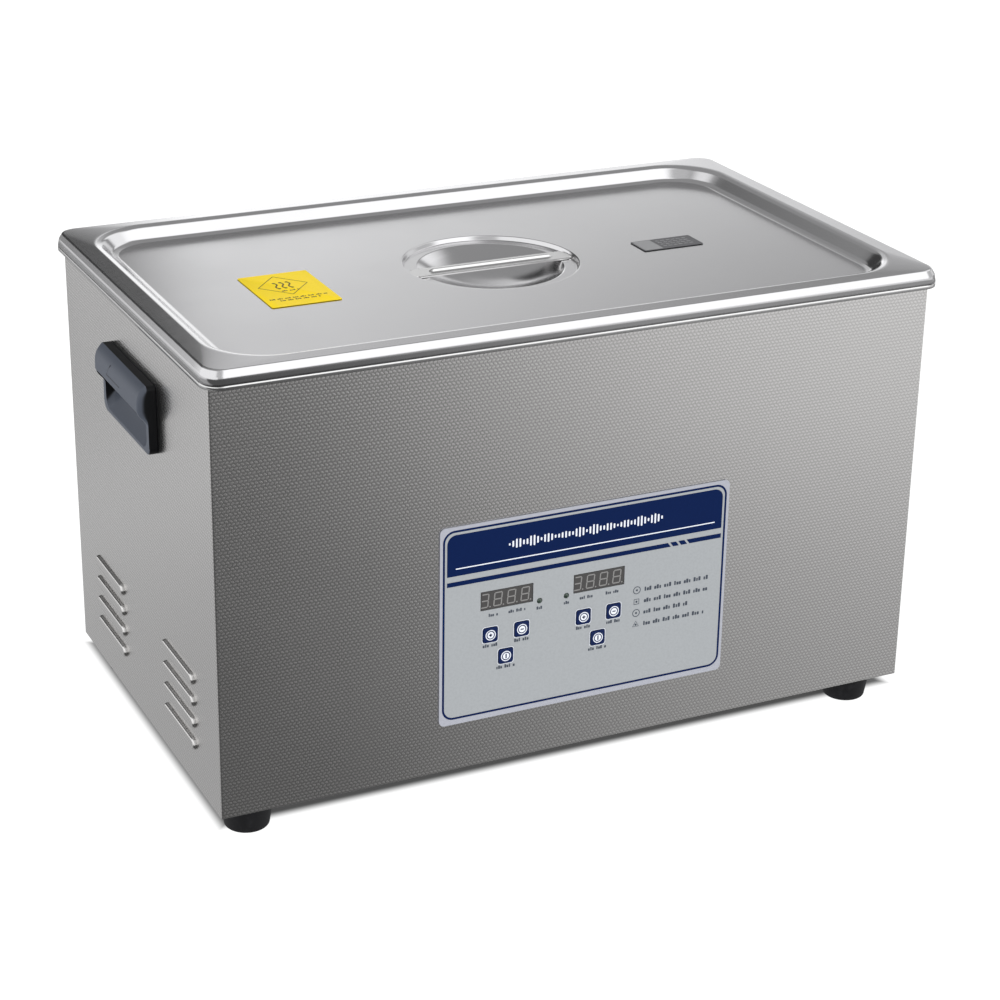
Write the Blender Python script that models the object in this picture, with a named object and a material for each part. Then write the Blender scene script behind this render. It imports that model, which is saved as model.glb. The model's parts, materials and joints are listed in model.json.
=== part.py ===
"""A 22 litre bench-top ultrasonic cleaner with a lift-off lid, as separate pieces.

Z is up, the control panel faces -Y and the drain tap is on the +X side. The origin is on the
bench, under the middle of the whole cleaner.

Pieces on a wall are drawn in that wall's own frame: u to the right as seen from outside, v up
from the bench and d outwards from the wall's outer face.
"""

import math

import bmesh
import bpy
from mathutils import Matrix, Vector

MM = 0.001

# Clearances
GAP = 0.3 * MM  # between pieces that touch
SLIP = 0.4 * MM  # around a piece that moves or drops into a hole

# Casing: one sheet wrapped round four walls, with a turned-in flange above the bottom cover
CASING_LENGTH = 521 * MM
CASING_WIDTH = 305 * MM
SHEET = 1.0 * MM
BEND = 1.5 * MM
FLANGE = 12 * MM
SERVICE_SPACE = 150.7 * MM  # from the casing's bottom edge to the tank's underside

# Louvres on both ends: raised hoods, open along the lower edge
LOUVRE_LENGTH = 62 * MM
LOUVRE_HEIGHT = 8 * MM
LOUVRE_REACH = 2.2 * MM
LOUVRE_TAPER = 2.4 * MM  # how much shorter and lower the crown is
LOUVRE_OPENING = 0.8 * MM  # how far the hollow is set below the hood
LOUVRE_COLUMN = 75 * MM  # from the middle of the end wall
LOUVRE_LOWEST = 31 * MM  # above the casing's bottom edge
LOUVRE_PITCH = 16 * MM
LOUVRE_ROWS = 4

# Tank: drawn from one sheet with a flange that covers the casing's top edge
TANK_SHEET = 1.0 * MM
TANK_DEPTH = 150 * MM
TANK_END_GAP = 9.5 * MM  # tank to casing at the two ends
TANK_SIDE_GAP = 2.5 * MM  # tank to casing at front and back
TANK_CORNER = 44 * MM
TANK_FLOOR_CORNER = 20 * MM
RIM_END_OVERHANG = 4.5 * MM
RIM_SIDE_OVERHANG = 10 * MM
RIM_DROP = 3 * MM
RIM_CORNER = 13 * MM

# Lid: a pressed pan with a flat flange, a flared skirt and a round dish for the fingers
LID_SHEET = 1.0 * MM
LID_HEIGHT = 9.5 * MM
LID_FLARE = 3 * MM
LID_FLARE_DROP = 4.5 * MM
LID_END_FLANGE = 13 * MM
LID_SIDE_FLANGE = 11 * MM
RECESS_DEPTH = 9.4 * MM
RECESS_RUN = 14.3 * MM
RECESS_CORNER = 44 * MM
RECESS_FLOOR_CORNER = 30 * MM
RECESS_PROFILE = ((1, 1), (0.74, 0.88), (0.26, 0.12), (0, 0))  # shares of the run and the depth
DISH_RADIUS = 61.8 * MM
DISH_STEP = 3 * MM
DISH_STEP_RUN = 1.5 * MM
BOWL_RADIUS = 51.4 * MM
BOWL_DEPTH = 14 * MM
GRIP_OVERLAP = 8.6 * MM  # how far each end of the grip bar lies on the dish's ledge
GRIP_WIDTH = 17 * MM
GRIP_THICKNESS = 1.2 * MM
GRIP_CORNER = 3 * MM
RIB_MARGIN = 14 * MM
RIB_WIDTH = 5 * MM
RIB_HEIGHT = 1.8 * MM

# Labels stuck in the lid's recess
LABEL_THICKNESS = 0.3 * MM
LABEL_CORNER = 1 * MM
WARNING_LABEL = (49.5 * MM, 68 * MM)
WARNING_PLACE = (-151 * MM, -4 * MM)
RATING_LABEL = (47.5 * MM, 22.5 * MM)
RATING_PLACE = (134 * MM, -10 * MM)

# Feet, each held by one screw through the bottom cover
FOOT_HEIGHT = 22.5 * MM
FOOT_TOP_RADIUS = 18 * MM
FOOT_BOTTOM_RADIUS = 15 * MM
FOOT_INSET = 26.5 * MM
FOOT_BEVEL = 2 * MM
FOOT_COLLAR = 3 * MM  # height of the straight part at the top
FOOT_BORE = 6.2 * MM
FOOT_BORE_DEPTH = 12 * MM
FOOT_SCREW_RADIUS = 2.3 * MM
FOOT_SCREW_HEAD = (5 * MM, 3 * MM)
FOOT_SCREW_REACH = 7 * MM  # above the bottom cover

# Carrying handles, pressed into a window in each end wall
HANDLE_LENGTH = 98 * MM
HANDLE_HEIGHT = 48.5 * MM
HANDLE_BOTTOM = 215.5 * MM  # above the casing's bottom edge
LOWER_CORNER, UPPER_CORNER = 6 * MM, 3 * MM
HOOD_CORNER = 4 * MM
BROW = 0.62  # the hood's reach near its top, as a share of its reach at the lip
BROW_DROP = 4 * MM
LIP_EDGE = 0.7 * MM
PLATE_BEVEL = 1.2 * MM
SEAM = 0.1 * MM  # keeps the hood clear of the plate's face where they would meet
PLATE_REACH = 6 * MM
HOOD_REACH = 12.3 * MM
HOOD_LIP = 6.2 * MM  # height of the lip above the handle's middle
CHEEK_FOOT = -3.8 * MM  # where the hood's end cheeks meet the plate
HANDLE_WALL = 1.5 * MM
POCKET_DEPTH = 7.5 * MM
POCKET_TOP = 15.5 * MM
POCKET_MARGIN = 5 * MM
POCKET_FOOT = 3.2 * MM  # above the handle's lower edge
POCKET_BEND = 4 * MM
BACK_LOW, BACK_HIGH = -15.5 * MM, 17.5 * MM

# Control panel: sizes and places from the middle of the printed overlay
PANEL_U = 1.4 * MM
PANEL_RISE = 106.7 * MM  # above the casing's bottom edge
PANEL_LENGTH = 216 * MM
PANEL_HEIGHT = 144 * MM
PANEL_CORNER = 4 * MM
PANEL_THICKNESS = 0.8 * MM
DISPLAY_LENGTH = 37.9 * MM
DISPLAY_HEIGHT = 13 * MM
DISPLAY_V = 15 * MM
DISPLAY_SUNK = 0.2 * MM  # below the overlay's face
DISPLAYS = {"temperature_display": -59.2 * MM, "time_display": 9.6 * MM}
LED_RADIUS = 1.7 * MM
LED_V = 7.8 * MM
LED_DOME = ((1, 0), (0.8, 0.6 * MM), (0.3, 0.9 * MM))  # share of the radius, and height
LEDS = {"heater_led": -35 * MM, "timer_led": -15 * MM}
KEY_SIZE = 10.6 * MM
KEY_CORNER = 1.4 * MM
KEY_BEVEL = 0.3 * MM
KEY_PROUD = 0.8 * MM  # above the overlay
KEY_TRAVEL = 0.5 * MM
KEY_STEM_RADIUS = 1.6 * MM
KEYS = {
    "temperature_up_key": (-71.2 * MM, -10.3 * MM),
    "temperature_down_key": (-48.0 * MM, -10.3 * MM),
    "heater_power_key": (-59.6 * MM, -28.0 * MM),
    "time_up_key": (-1.7 * MM, -10.3 * MM),
    "time_down_key": (21.3 * MM, -10.3 * MM),
    "timer_power_key": (9.6 * MM, -28.0 * MM),
}
BOARD_DEPTH = 13 * MM  # from the wall's outer face back to the control board
BOARD_THICKNESS = 1.6 * MM
BOARD_MARGIN = 10 * MM
SWITCH_SIZE = 6 * MM
SWITCH_HEIGHT = 1.6 * MM
STANDOFF_RADIUS = 2.4 * MM
STANDOFF_MARGIN = 1 * MM

# Ultrasonic generator on the bottom cover
GENERATOR_LENGTH = 200 * MM
GENERATOR_WIDTH = 110 * MM
GENERATOR_LIFT = 10 * MM
PILLAR_RADIUS = 3 * MM
PART_MARGIN = 8 * MM  # from a part on the board to the board's edge
TRANSFORMER_RADIUS = 26 * MM
TRANSFORMER_BORE = 8 * MM
TRANSFORMER_HEIGHT = 26 * MM
HEAT_SINK = (80 * MM, 30 * MM, 34 * MM)
HEAT_SINK_FINS = 6
FIN_ROOT = 0.15  # the heat sink's base, as a share of its height
CAPACITOR_RADIUS = 11 * MM
CAPACITOR_HEIGHT = 32 * MM

# Transducers glued under the tank
TRANSDUCER_RADIUS = 22.5 * MM
TRANSDUCER_HEIGHT = 50 * MM
TRANSDUCER_PROFILE = (  # shares of the radius and the height, from the top down
    (1, 0),
    (1, 0.1),
    (0.7, 0.3),
    (0.85, 0.36),
    (0.85, 0.88),
    (0.2, 0.88),
    (0.2, 1),
)
TRANSDUCER_COLUMNS = 4
TRANSDUCER_ROWS = 2

# Heating pads on the tank's ends, and the sensor under its floor
HEATER_THICKNESS = 1.5 * MM
HEATER_HEIGHT = 42 * MM
HEATER_SPAN = 0.6  # share of the tank's width
HEATER_LIFT = 2 * MM  # above the end of the floor's rounding
SENSOR = (14 * MM, 9 * MM, 6 * MM)

# Fan, mains inlet and power switch on the back wall
SERVICE_V = 72.5 * MM  # above the casing's bottom edge
FAN_U = -130 * MM
FAN_SIZE = 80 * MM
FAN_DEPTH = 25 * MM
FAN_BORE = 37.5 * MM
FAN_BLADES = 7
FAN_HUB = 17 * MM
FAN_SHAFT = 2 * MM
FAN_CORNER = 4 * MM
FAN_PLATE = 3 * MM  # the spoked plate that carries the motor
FAN_SECTOR = (10, 33, 57, 80)  # degrees of each opening's corners, from the spoke before it
FAN_MARGIN = 1 * MM
HUB_BEVEL = 2 * MM
SHAFT_RECESS = 0.5 * MM
BLADE_TURNS = (40, 58)  # degrees of pitch at the root and the tip
BLADE_THICKNESS = 1.4 * MM
BLADE_SETBACK = 3 * MM
GUARD_THICKNESS = 2.5 * MM
GUARD_WIRE = 2.5 * MM
GUARD_BAR = 3 * MM
GUARD_RINGS = (1.0133, 0.62, 0.28)  # their insides, as shares of the fan's bore
BAR_INSET = 0.4 * MM
INLET_U = 130 * MM
INLET_BODY = (46 * MM, 24 * MM, 22 * MM)
INLET_SOCKET = (25 * MM, 17 * MM, 14 * MM)
INLET_CORNER = 2 * MM
PIN_HALF = (1 * MM, 2 * MM)
PIN_ROOT, PIN_TIP = 1 * MM, 2 * MM  # behind the socket's floor, and below the wall's face
PINS = ((-7 * MM, 0), (0, 4 * MM), (7 * MM, 0))
BEZEL = 2 * MM
SWITCH_U = 190 * MM
ROCKER = (11.4 * MM, 20.4 * MM)
ROCKER_FACE = (3.0 * MM, 1.4 * MM)  # reach of its face at the edges and in the middle
ROCKER_BACK = 4.5 * MM
ROCKER_TAPER = (0.2 * MM, 1.4 * MM)  # off its height, at the face and at the back
SWITCH_CORNER = 1 * MM
SOCKET_MARGIN = 0.5 * MM
SWITCH_WALL = 1.9 * MM
SWITCH_DEPTH = 14 * MM
ROCKER_TILT = math.radians(10)
PIVOT_DEPTH = -1 * MM
PIVOT_RADIUS = 1 * MM

# Drain: strainer in the tank floor, pipe to the +X wall and a ball tap outside it
DRAIN_INSET = 44 * MM  # from the tank's end
DRAIN_V = 39.5 * MM  # above the casing's bottom edge
STRAINER_RADIUS = 15 * MM
PIPE_RADIUS = 8 * MM
PIPE_WALL = 2 * MM
PIPE_BEND = 25 * MM
PIPE_DROP = 12 * MM  # from the tank's underside to the pipe
TAP_NUT_LENGTH = 6 * MM
TAP_SHOULDER = 4 * MM
BARB_LENGTH, BARB_PROUD, BARB_TAPER = 8 * MM, 1.2 * MM, 1 * MM
WAY_STEP = 1 * MM  # how much narrower the tap's way is than the pipe's
TAP_RADIUS = 12 * MM
TAP_NUT_RADIUS = 14 * MM
TAP_LENGTH = 58 * MM
BALL_RADIUS = 8 * MM
BALL_PLACE = 24 * MM
STEM_RADIUS = 2.6 * MM
LEVER_LENGTH = 42 * MM
LEVER_WIDTH = 10 * MM
LEVER_THICKNESS = 2.5 * MM
LEVER_LIFT = 3 * MM  # above the tap's body
LEVER_TIP = 0.8  # the lever's width at its tip, as a share of its width

# Sizes that follow from those above
CASING_BOTTOM = FOOT_HEIGHT
TANK_LENGTH = CASING_LENGTH - 2 * (SHEET + TANK_SHEET + TANK_END_GAP)
TANK_WIDTH = CASING_WIDTH - 2 * (SHEET + TANK_SHEET + TANK_SIDE_GAP)
TANK_UNDERSIDE = CASING_BOTTOM + SERVICE_SPACE
TANK_FLOOR = TANK_UNDERSIDE + TANK_SHEET
RIM_TOP = TANK_FLOOR + TANK_DEPTH
RIM_LENGTH = CASING_LENGTH + 2 * RIM_END_OVERHANG
RIM_WIDTH = CASING_WIDTH + 2 * RIM_SIDE_OVERHANG
CASING_TOP = RIM_TOP - TANK_SHEET - GAP
COVER_TOP = CASING_BOTTOM + SHEET
LID_BOTTOM = RIM_TOP + GAP
LID_TOP = LID_BOTTOM + LID_HEIGHT
RECESS_FLOOR = LID_TOP - RECESS_DEPTH
LEDGE = RECESS_FLOOR - DISH_STEP
HANDLE_V = CASING_BOTTOM + HANDLE_BOTTOM + HANDLE_HEIGHT / 2
DRAIN_X = TANK_LENGTH / 2 - DRAIN_INSET
SHIFT_X = (HOOD_REACH - TAP_LENGTH) / 2


# Shapes: each is a pair of points and faces


def loft(loops, ring=False):
    """Skins loops of equal length in turn, and caps both ends or, as a ring, joins them."""
    size = len(loops[0])
    points = [point for loop in loops for point in loop]
    faces = []
    for i in range(len(loops) if ring else len(loops) - 1):
        here = i * size
        there = (i + 1) % len(loops) * size
        for j in range(size):
            k = (j + 1) % size
            faces.append((here + j, here + k, there + k, there + j))
    if not ring:
        faces.append(tuple(range(size)))
        faces.append(tuple(range(len(points) - size, len(points))))
    return points, faces


def rounded(length, width, radius, steps=5):
    """A rectangle about the origin with round corners."""
    points = []
    corners = ((1, 1, 0), (-1, 1, 90), (-1, -1, 180), (1, -1, 270))
    for side_x, side_y, start in corners:
        for step in range(steps + 1):
            angle = math.radians(start + 90 * step / steps)
            x = side_x * (length / 2 - radius) + radius * math.cos(angle)
            y = side_y * (width / 2 - radius) + radius * math.sin(angle)
            points.append((x, y))
    return points


def circle(radius, segments):
    angles = [2 * math.pi * i / segments for i in range(segments)]
    return [(radius * math.cos(a), radius * math.sin(a)) for a in angles]


def at_height(outline, z):
    return [(x, y, z) for x, y in outline]


def prism(outline, low, high):
    """An outline in X and Y, raised from one height to another."""
    return loft([at_height(outline, low), at_height(outline, high)])


def block(low, high):
    """A box between two opposite corners."""
    (x0, y0, z0), (x1, y1, z1) = low, high
    return prism([(x0, y0), (x1, y0), (x1, y1), (x0, y1)], z0, z1)


def turned(profile, segments, ring=False):
    """A profile of (radius, height) turned about Z. As a ring it closes on itself."""
    return loft([at_height(circle(r, segments), z) for r, z in profile], ring)


def moved(body, matrix):
    points, faces = body
    return [tuple(matrix @ Vector(point)) for point in points], faces


def shifted(body, x, y, z=0.0):
    return moved(body, Matrix.Translation((x, y, z)))


def lying(body, x=0.0, y=0.0, z=0.0):
    """Turns a body's Z onto the local X axis, then shifts it."""
    return moved(body, Matrix.Translation((x, y, z)) @ Matrix.Rotation(math.pi / 2, 4, "Y"))


def standing(body, x=0.0, y=0.0, z=0.0):
    """Turns a body's Z onto the local Y axis, then shifts it."""
    return moved(body, Matrix.Translation((x, y, z)) @ Matrix.Rotation(-math.pi / 2, 4, "X"))


# Objects


def finish(name, colour, roughness, metallic=0.0):
    material = bpy.data.materials.new(name)
    material.use_nodes = True
    shader = material.node_tree.nodes["Principled BSDF"]
    shader.inputs["Base Color"].default_value = (*colour, 1)
    shader.inputs["Roughness"].default_value = roughness
    shader.inputs["Metallic"].default_value = metallic
    return material


def piece(name, bodies, material, parent, location=(0, 0, 0)):
    """One object from bodies that don't touch, with its faces turned outwards."""
    mesh = bpy.data.meshes.new(name)
    form = bmesh.new()
    for points, faces in bodies:
        corners = [form.verts.new(point) for point in points]
        for face in faces:
            form.faces.new([corners[i] for i in face])
    bmesh.ops.recalc_face_normals(form, faces=form.faces)
    form.to_mesh(mesh)
    form.free()
    mesh.shade_smooth()
    mesh.set_sharp_from_angle(angle=math.radians(30))
    made = bpy.data.objects.new(name, mesh)
    bpy.context.scene.collection.objects.link(made)
    if material:
        mesh.materials.append(material)
    made.parent = parent
    made.location = location
    return made


def combine(target, operation, bodies, parent=None, location=None):
    """Adds a Boolean of these bodies to a piece, by default drawn in the piece's own frame."""
    name = f"{target.name}_{operation.lower()}_{len(target.modifiers)}"
    if parent is None:
        parent = target.parent
        location = target.location
    tool = piece(name, bodies, None, parent, location or (0, 0, 0))
    tool.hide_render = True
    tool.display_type = "WIRE"
    boolean = target.modifiers.new(name, "BOOLEAN")
    boolean.operation = operation
    boolean.solver = "EXACT"
    boolean.object = tool


def empty(name, parent=None, matrix=None):
    made = bpy.data.objects.new(name, None)
    bpy.context.scene.collection.objects.link(made)
    made.parent = parent
    if matrix is not None:
        made.matrix_basis = matrix
    return made


def wall(name, parent, u, d, reach):
    """An empty on a wall's outer face, whose axes are u, v and d."""
    u, d = Vector(u), Vector(d)
    turn = Matrix((u, (0, 0, 1), d)).transposed().to_4x4()
    return empty(name, parent, Matrix.Translation(d * reach) @ turn)


# Casing and bottom cover


def pill(length, height, steps=2):
    return rounded(length, height, height / 2 - 0.01 * MM, steps)


def louvre_places():
    rows = [CASING_BOTTOM + LOUVRE_LOWEST + i * LOUVRE_PITCH for i in range(LOUVRE_ROWS)]
    return [(u, v) for u in (-LOUVRE_COLUMN, LOUVRE_COLUMN) for v in rows]


def louvre_hood():
    """The raised outside of one louvre, from the middle of the sheet outwards."""
    foot = pill(LOUVRE_LENGTH, LOUVRE_HEIGHT)
    crown = pill(LOUVRE_LENGTH - LOUVRE_TAPER, LOUVRE_HEIGHT - LOUVRE_TAPER)
    levels = ((foot, -SHEET / 2), (foot, LOUVRE_REACH / 4), (crown, LOUVRE_REACH))
    return loft([at_height(outline, d) for outline, d in levels])


def louvre_hollow():
    """The inside of one louvre, set low enough to open its lower edge."""
    inside = pill(LOUVRE_LENGTH - 2 * SHEET, LOUVRE_HEIGHT - 2 * SHEET)
    hollow = prism(inside, -2 * SHEET, LOUVRE_REACH - SHEET)
    return shifted(hollow, 0, -LOUVRE_OPENING)


def make_casing(cleaner, walls, steel):
    inner_length = CASING_LENGTH - 2 * SHEET
    inner_width = CASING_WIDTH - 2 * SHEET
    outer = rounded(CASING_LENGTH, CASING_WIDTH, BEND, 2)
    inner = rounded(inner_length, inner_width, BEND - SHEET, 2)
    edge = rounded(inner_length - 2 * FLANGE, inner_width - 2 * FLANGE, BEND, 2)
    flange_low = COVER_TOP + GAP
    levels = (
        (outer, CASING_BOTTOM),
        (outer, CASING_TOP),
        (inner, CASING_TOP),
        (inner, flange_low + SHEET),
        (edge, flange_low + SHEET),
        (edge, flange_low),
        (inner, flange_low),
        (inner, CASING_BOTTOM),
    )
    shell = loft([at_height(outline, z) for outline, z in levels], ring=True)
    casing = piece("casing", [shell], steel, cleaner)
    for side in (walls["left"], walls["right"]):
        hoods = [shifted(louvre_hood(), u, v) for u, v in louvre_places()]
        hollows = [shifted(louvre_hollow(), u, v) for u, v in louvre_places()]
        combine(casing, "UNION", hoods, side)
        combine(casing, "DIFFERENCE", hollows, side)
        combine(casing, "DIFFERENCE", [handle_window()], side, (0, HANDLE_V, 0))
    combine(casing, "DIFFERENCE", panel_holes(-2 * SHEET, SHEET, SLIP), walls["panel"])
    combine(casing, "DIFFERENCE", back_holes(), walls["back"])
    hole = prism(circle(PIPE_RADIUS + 2 * SLIP, 16), -2 * SHEET, SHEET)
    combine(casing, "DIFFERENCE", [hole], walls["right"], (0, CASING_BOTTOM + DRAIN_V, 0))
    return casing


def foot_places():
    x = CASING_LENGTH / 2 - FOOT_INSET
    y = CASING_WIDTH / 2 - FOOT_INSET
    return {
        "front_left": (-x, -y),
        "front_right": (x, -y),
        "back_left": (-x, y),
        "back_right": (x, y),
    }


def make_bottom_cover(cleaner, steel):
    length = CASING_LENGTH - 2 * (SHEET + SLIP)
    width = CASING_WIDTH - 2 * (SHEET + SLIP)
    plate = prism(rounded(length, width, BEND, 2), CASING_BOTTOM, COVER_TOP)
    cover = piece("bottom_cover", [plate], steel, cleaner)
    drill = prism(circle(FOOT_SCREW_RADIUS + SLIP, 10), CASING_BOTTOM - SHEET, COVER_TOP + SHEET)
    holes = [shifted(drill, x, y) for x, y in foot_places().values()]
    combine(cover, "DIFFERENCE", holes)


def make_feet(cleaner, rubber, steel):
    top = FOOT_HEIGHT - GAP
    screw_hole = FOOT_SCREW_RADIUS + SLIP
    foot = [
        (FOOT_BOTTOM_RADIUS - FOOT_BEVEL, 0),
        (FOOT_BOTTOM_RADIUS, FOOT_BEVEL),
        (FOOT_TOP_RADIUS, top - FOOT_COLLAR),
        (FOOT_TOP_RADIUS, top),
        (screw_hole, top),
        (screw_hole, FOOT_BORE_DEPTH),
        (FOOT_BORE, FOOT_BORE_DEPTH),
        (FOOT_BORE, 0),
    ]
    head_radius, head_height = FOOT_SCREW_HEAD
    seat = FOOT_BORE_DEPTH - GAP
    screw = [
        (head_radius, seat - head_height),
        (head_radius, seat),
        (FOOT_SCREW_RADIUS, seat),
        (FOOT_SCREW_RADIUS, COVER_TOP + FOOT_SCREW_REACH),
    ]
    for corner, place in foot_places().items():
        piece(f"foot_{corner}", [turned(foot, 16, ring=True)], rubber, cleaner, (*place, 0))
        piece(f"foot_screw_{corner}", [turned(screw, 10)], steel, cleaner, (*place, 0))


# Tank


def make_tank(cleaner, steel):
    wall_radius = TANK_CORNER + TANK_SHEET
    outer_length = TANK_LENGTH + 2 * TANK_SHEET
    outer_width = TANK_WIDTH + 2 * TANK_SHEET

    def fillet(length, width, corner, radius, low):
        """Levels of the rounding between floor and walls, from the floor up."""
        made = []
        for step in range(4):
            angle = math.radians(30 * step)
            inset = radius * (1 - math.sin(angle))
            outline = rounded(length - 2 * inset, width - 2 * inset, corner - inset)
            made.append((outline, low + radius * (1 - math.cos(angle))))
        return made

    lip = RIM_TOP - RIM_DROP
    under = RIM_TOP - TANK_SHEET
    rim = rounded(RIM_LENGTH, RIM_WIDTH, RIM_CORNER)
    inner_length = RIM_LENGTH - 2 * TANK_SHEET
    inner_width = RIM_WIDTH - 2 * TANK_SHEET
    rim_inside = rounded(inner_length, inner_width, RIM_CORNER - TANK_SHEET)
    cove = TANK_FLOOR_CORNER + TANK_SHEET
    levels = fillet(outer_length, outer_width, wall_radius, cove, TANK_UNDERSIDE)
    inside = fillet(TANK_LENGTH, TANK_WIDTH, TANK_CORNER, TANK_FLOOR_CORNER, TANK_FLOOR)
    levels += [
        (rounded(outer_length, outer_width, wall_radius), under),
        (rim_inside, under),
        (rim_inside, lip),
        (rim, lip),
        (rim, RIM_TOP),
        (rounded(TANK_LENGTH, TANK_WIDTH, TANK_CORNER), RIM_TOP),
    ]
    levels += reversed(inside)
    tank = piece("tank", [loft([at_height(outline, z) for outline, z in levels])], steel, cleaner)
    drill = prism(circle(PIPE_RADIUS + SLIP, 16), TANK_UNDERSIDE - SHEET, TANK_FLOOR + SHEET)
    combine(tank, "DIFFERENCE", [drill], cleaner, (DRAIN_X, 0, 0))


# Lid


def recess_levels(grow, drop):
    """The pressed recess from its floor to the flange, grown and lowered for the underside."""
    length = RIM_LENGTH - 2 * (LID_FLARE + LID_END_FLANGE)
    width = RIM_WIDTH - 2 * (LID_FLARE + LID_SIDE_FLANGE)
    levels = []
    for inwards, down in RECESS_PROFILE:
        inset = RECESS_RUN * inwards - grow
        corner = RECESS_CORNER + (RECESS_FLOOR_CORNER - RECESS_CORNER) * inwards + grow
        outline = rounded(length - 2 * inset, width - 2 * inset, corner)
        levels.append((outline, LID_TOP - drop - RECESS_DEPTH * down))
    return levels


def skirt_levels(inset, drop):
    """The flange's edge and the flared skirt below it, from the top down."""
    flat_length = RIM_LENGTH - 2 * (LID_FLARE + inset)
    flat_width = RIM_WIDTH - 2 * (LID_FLARE + inset)
    full_length = RIM_LENGTH - 2 * inset
    full_width = RIM_WIDTH - 2 * inset
    corner = RIM_CORNER - inset
    return [
        (rounded(flat_length, flat_width, corner - LID_FLARE / 2), LID_TOP - drop),
        (rounded(full_length, full_width, corner), LID_TOP - LID_FLARE_DROP),
        (rounded(full_length, full_width, corner), LID_BOTTOM),
    ]


def dish_profile(grow, top):
    """The finger dish from its edge to the bottom of its bowl, grown for the underside."""
    sphere = (BOWL_RADIUS**2 + BOWL_DEPTH**2) / (2 * BOWL_DEPTH)
    centre = LEDGE - BOWL_DEPTH + sphere
    opening = math.asin(BOWL_RADIUS / sphere)
    profile = [(DISH_RADIUS + grow, top), (DISH_RADIUS - DISH_STEP_RUN + grow, LEDGE - grow)]
    for step in range(5):
        angle = opening * (1 - step / 5.5)
        reach = sphere + grow
        profile.append((reach * math.sin(angle), centre - reach * math.cos(angle)))
    return profile


def make_lid(lid, steel):
    levels = recess_levels(LID_SHEET, LID_SHEET)
    levels += skirt_levels(LID_SHEET, LID_SHEET)
    levels += reversed(skirt_levels(0, 0))
    levels += reversed(recess_levels(0, 0))
    pan = piece("lid_pan", [loft([at_height(outline, z) for outline, z in levels])], steel, lid)
    shell = turned(dish_profile(LID_SHEET, RECESS_FLOOR - LID_SHEET / 2), 36)
    combine(pan, "UNION", [shell])
    hollow = turned([(DISH_RADIUS, RECESS_FLOOR + LID_SHEET)] + dish_profile(0, RECESS_FLOOR), 36)
    combine(pan, "DIFFERENCE", [hollow])


def make_grip(lid, steel):
    length = 2 * (BOWL_RADIUS + GRIP_OVERLAP)
    low = LEDGE + GAP
    bar = prism(rounded(length, GRIP_WIDTH, GRIP_CORNER, 3), low, low + GRIP_THICKNESS)
    grip = piece("lid_grip", [bar], steel, lid)
    rib_length = length - 2 * RIB_MARGIN
    top = low + GRIP_THICKNESS
    levels = (
        (pill(rib_length, RIB_WIDTH), low + GRIP_THICKNESS / 2),
        (pill(rib_length, RIB_WIDTH), top + RIB_HEIGHT / 3),
        (pill(rib_length - RIB_WIDTH / 2, RIB_WIDTH / 2), top + RIB_HEIGHT),
    )
    combine(grip, "UNION", [loft([at_height(outline, z) for outline, z in levels])])


def make_labels(lid, yellow, grey):
    low = RECESS_FLOOR + GAP
    for name, size, place, material in (
        ("warning_label", WARNING_LABEL, WARNING_PLACE, yellow),
        ("rating_label", RATING_LABEL, RATING_PLACE, grey),
    ):
        sheet = prism(rounded(*size, LABEL_CORNER, 2), low, low + LABEL_THICKNESS)
        piece(name, [sheet], material, lid, (*place, 0))


# Handles


def handle_section(y):
    """The handle's outline in d and v at a distance y from its middle."""
    half = HANDLE_LENGTH / 2

    def corner(radius):
        """How far a round corner has cut in at this distance from the middle."""
        past = min(radius, max(0.0, abs(y) - (half - radius)))
        return radius - math.sqrt(radius**2 - past**2)

    low = -HANDLE_HEIGHT / 2 + corner(LOWER_CORNER)
    high = HANDLE_HEIGHT / 2 - corner(UPPER_CORNER)
    hood = PLATE_REACH + (HOOD_REACH - PLATE_REACH) * (1 - corner(HOOD_CORNER) / HOOD_CORNER)
    brow = PLATE_REACH + (hood - PLATE_REACH) * BROW
    return [
        (GAP, low),
        (PLATE_REACH - PLATE_BEVEL, low),
        (PLATE_REACH, low + PLATE_BEVEL),
        (PLATE_REACH, CHEEK_FOOT),
        (hood + SEAM, HOOD_LIP - LIP_EDGE),
        (hood + SEAM, HOOD_LIP + LIP_EDGE),
        (brow + SEAM, high - BROW_DROP),
        (PLATE_REACH, high),
        (GAP, high),
    ]


def pocket_section():
    """The finger pocket's outline in d and v: a ramp up behind the plate, then the hood's inside."""
    back = -POCKET_DEPTH
    clear = HOOD_REACH + POCKET_BEND
    bottom = -HANDLE_HEIGHT / 2 + POCKET_FOOT
    return [
        (clear, bottom),
        (PLATE_REACH + SHEET, bottom),
        (back + HANDLE_WALL, CHEEK_FOOT),
        (back, CHEEK_FOOT + POCKET_BEND),
        (back, POCKET_TOP - POCKET_BEND),
        (back + POCKET_BEND, POCKET_TOP),
        (PLATE_REACH + SHEET, POCKET_TOP),
        (HOOD_REACH - 1.6 * HANDLE_WALL, HOOD_LIP + SHEET),
        (clear, HOOD_LIP - 1.5 * HANDLE_WALL),
    ]


def across(outline, u):
    """An outline in d and v, set at a distance u along the wall."""
    return [(u, v, d) for d, v in outline]


def handle_window():
    """The window in the end wall for the back of a handle."""
    half = HANDLE_LENGTH / 2 - POCKET_MARGIN + HANDLE_WALL + SLIP
    return block((-half, BACK_LOW - SLIP, -2 * SHEET), (half, BACK_HIGH + SLIP, SHEET))


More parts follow.
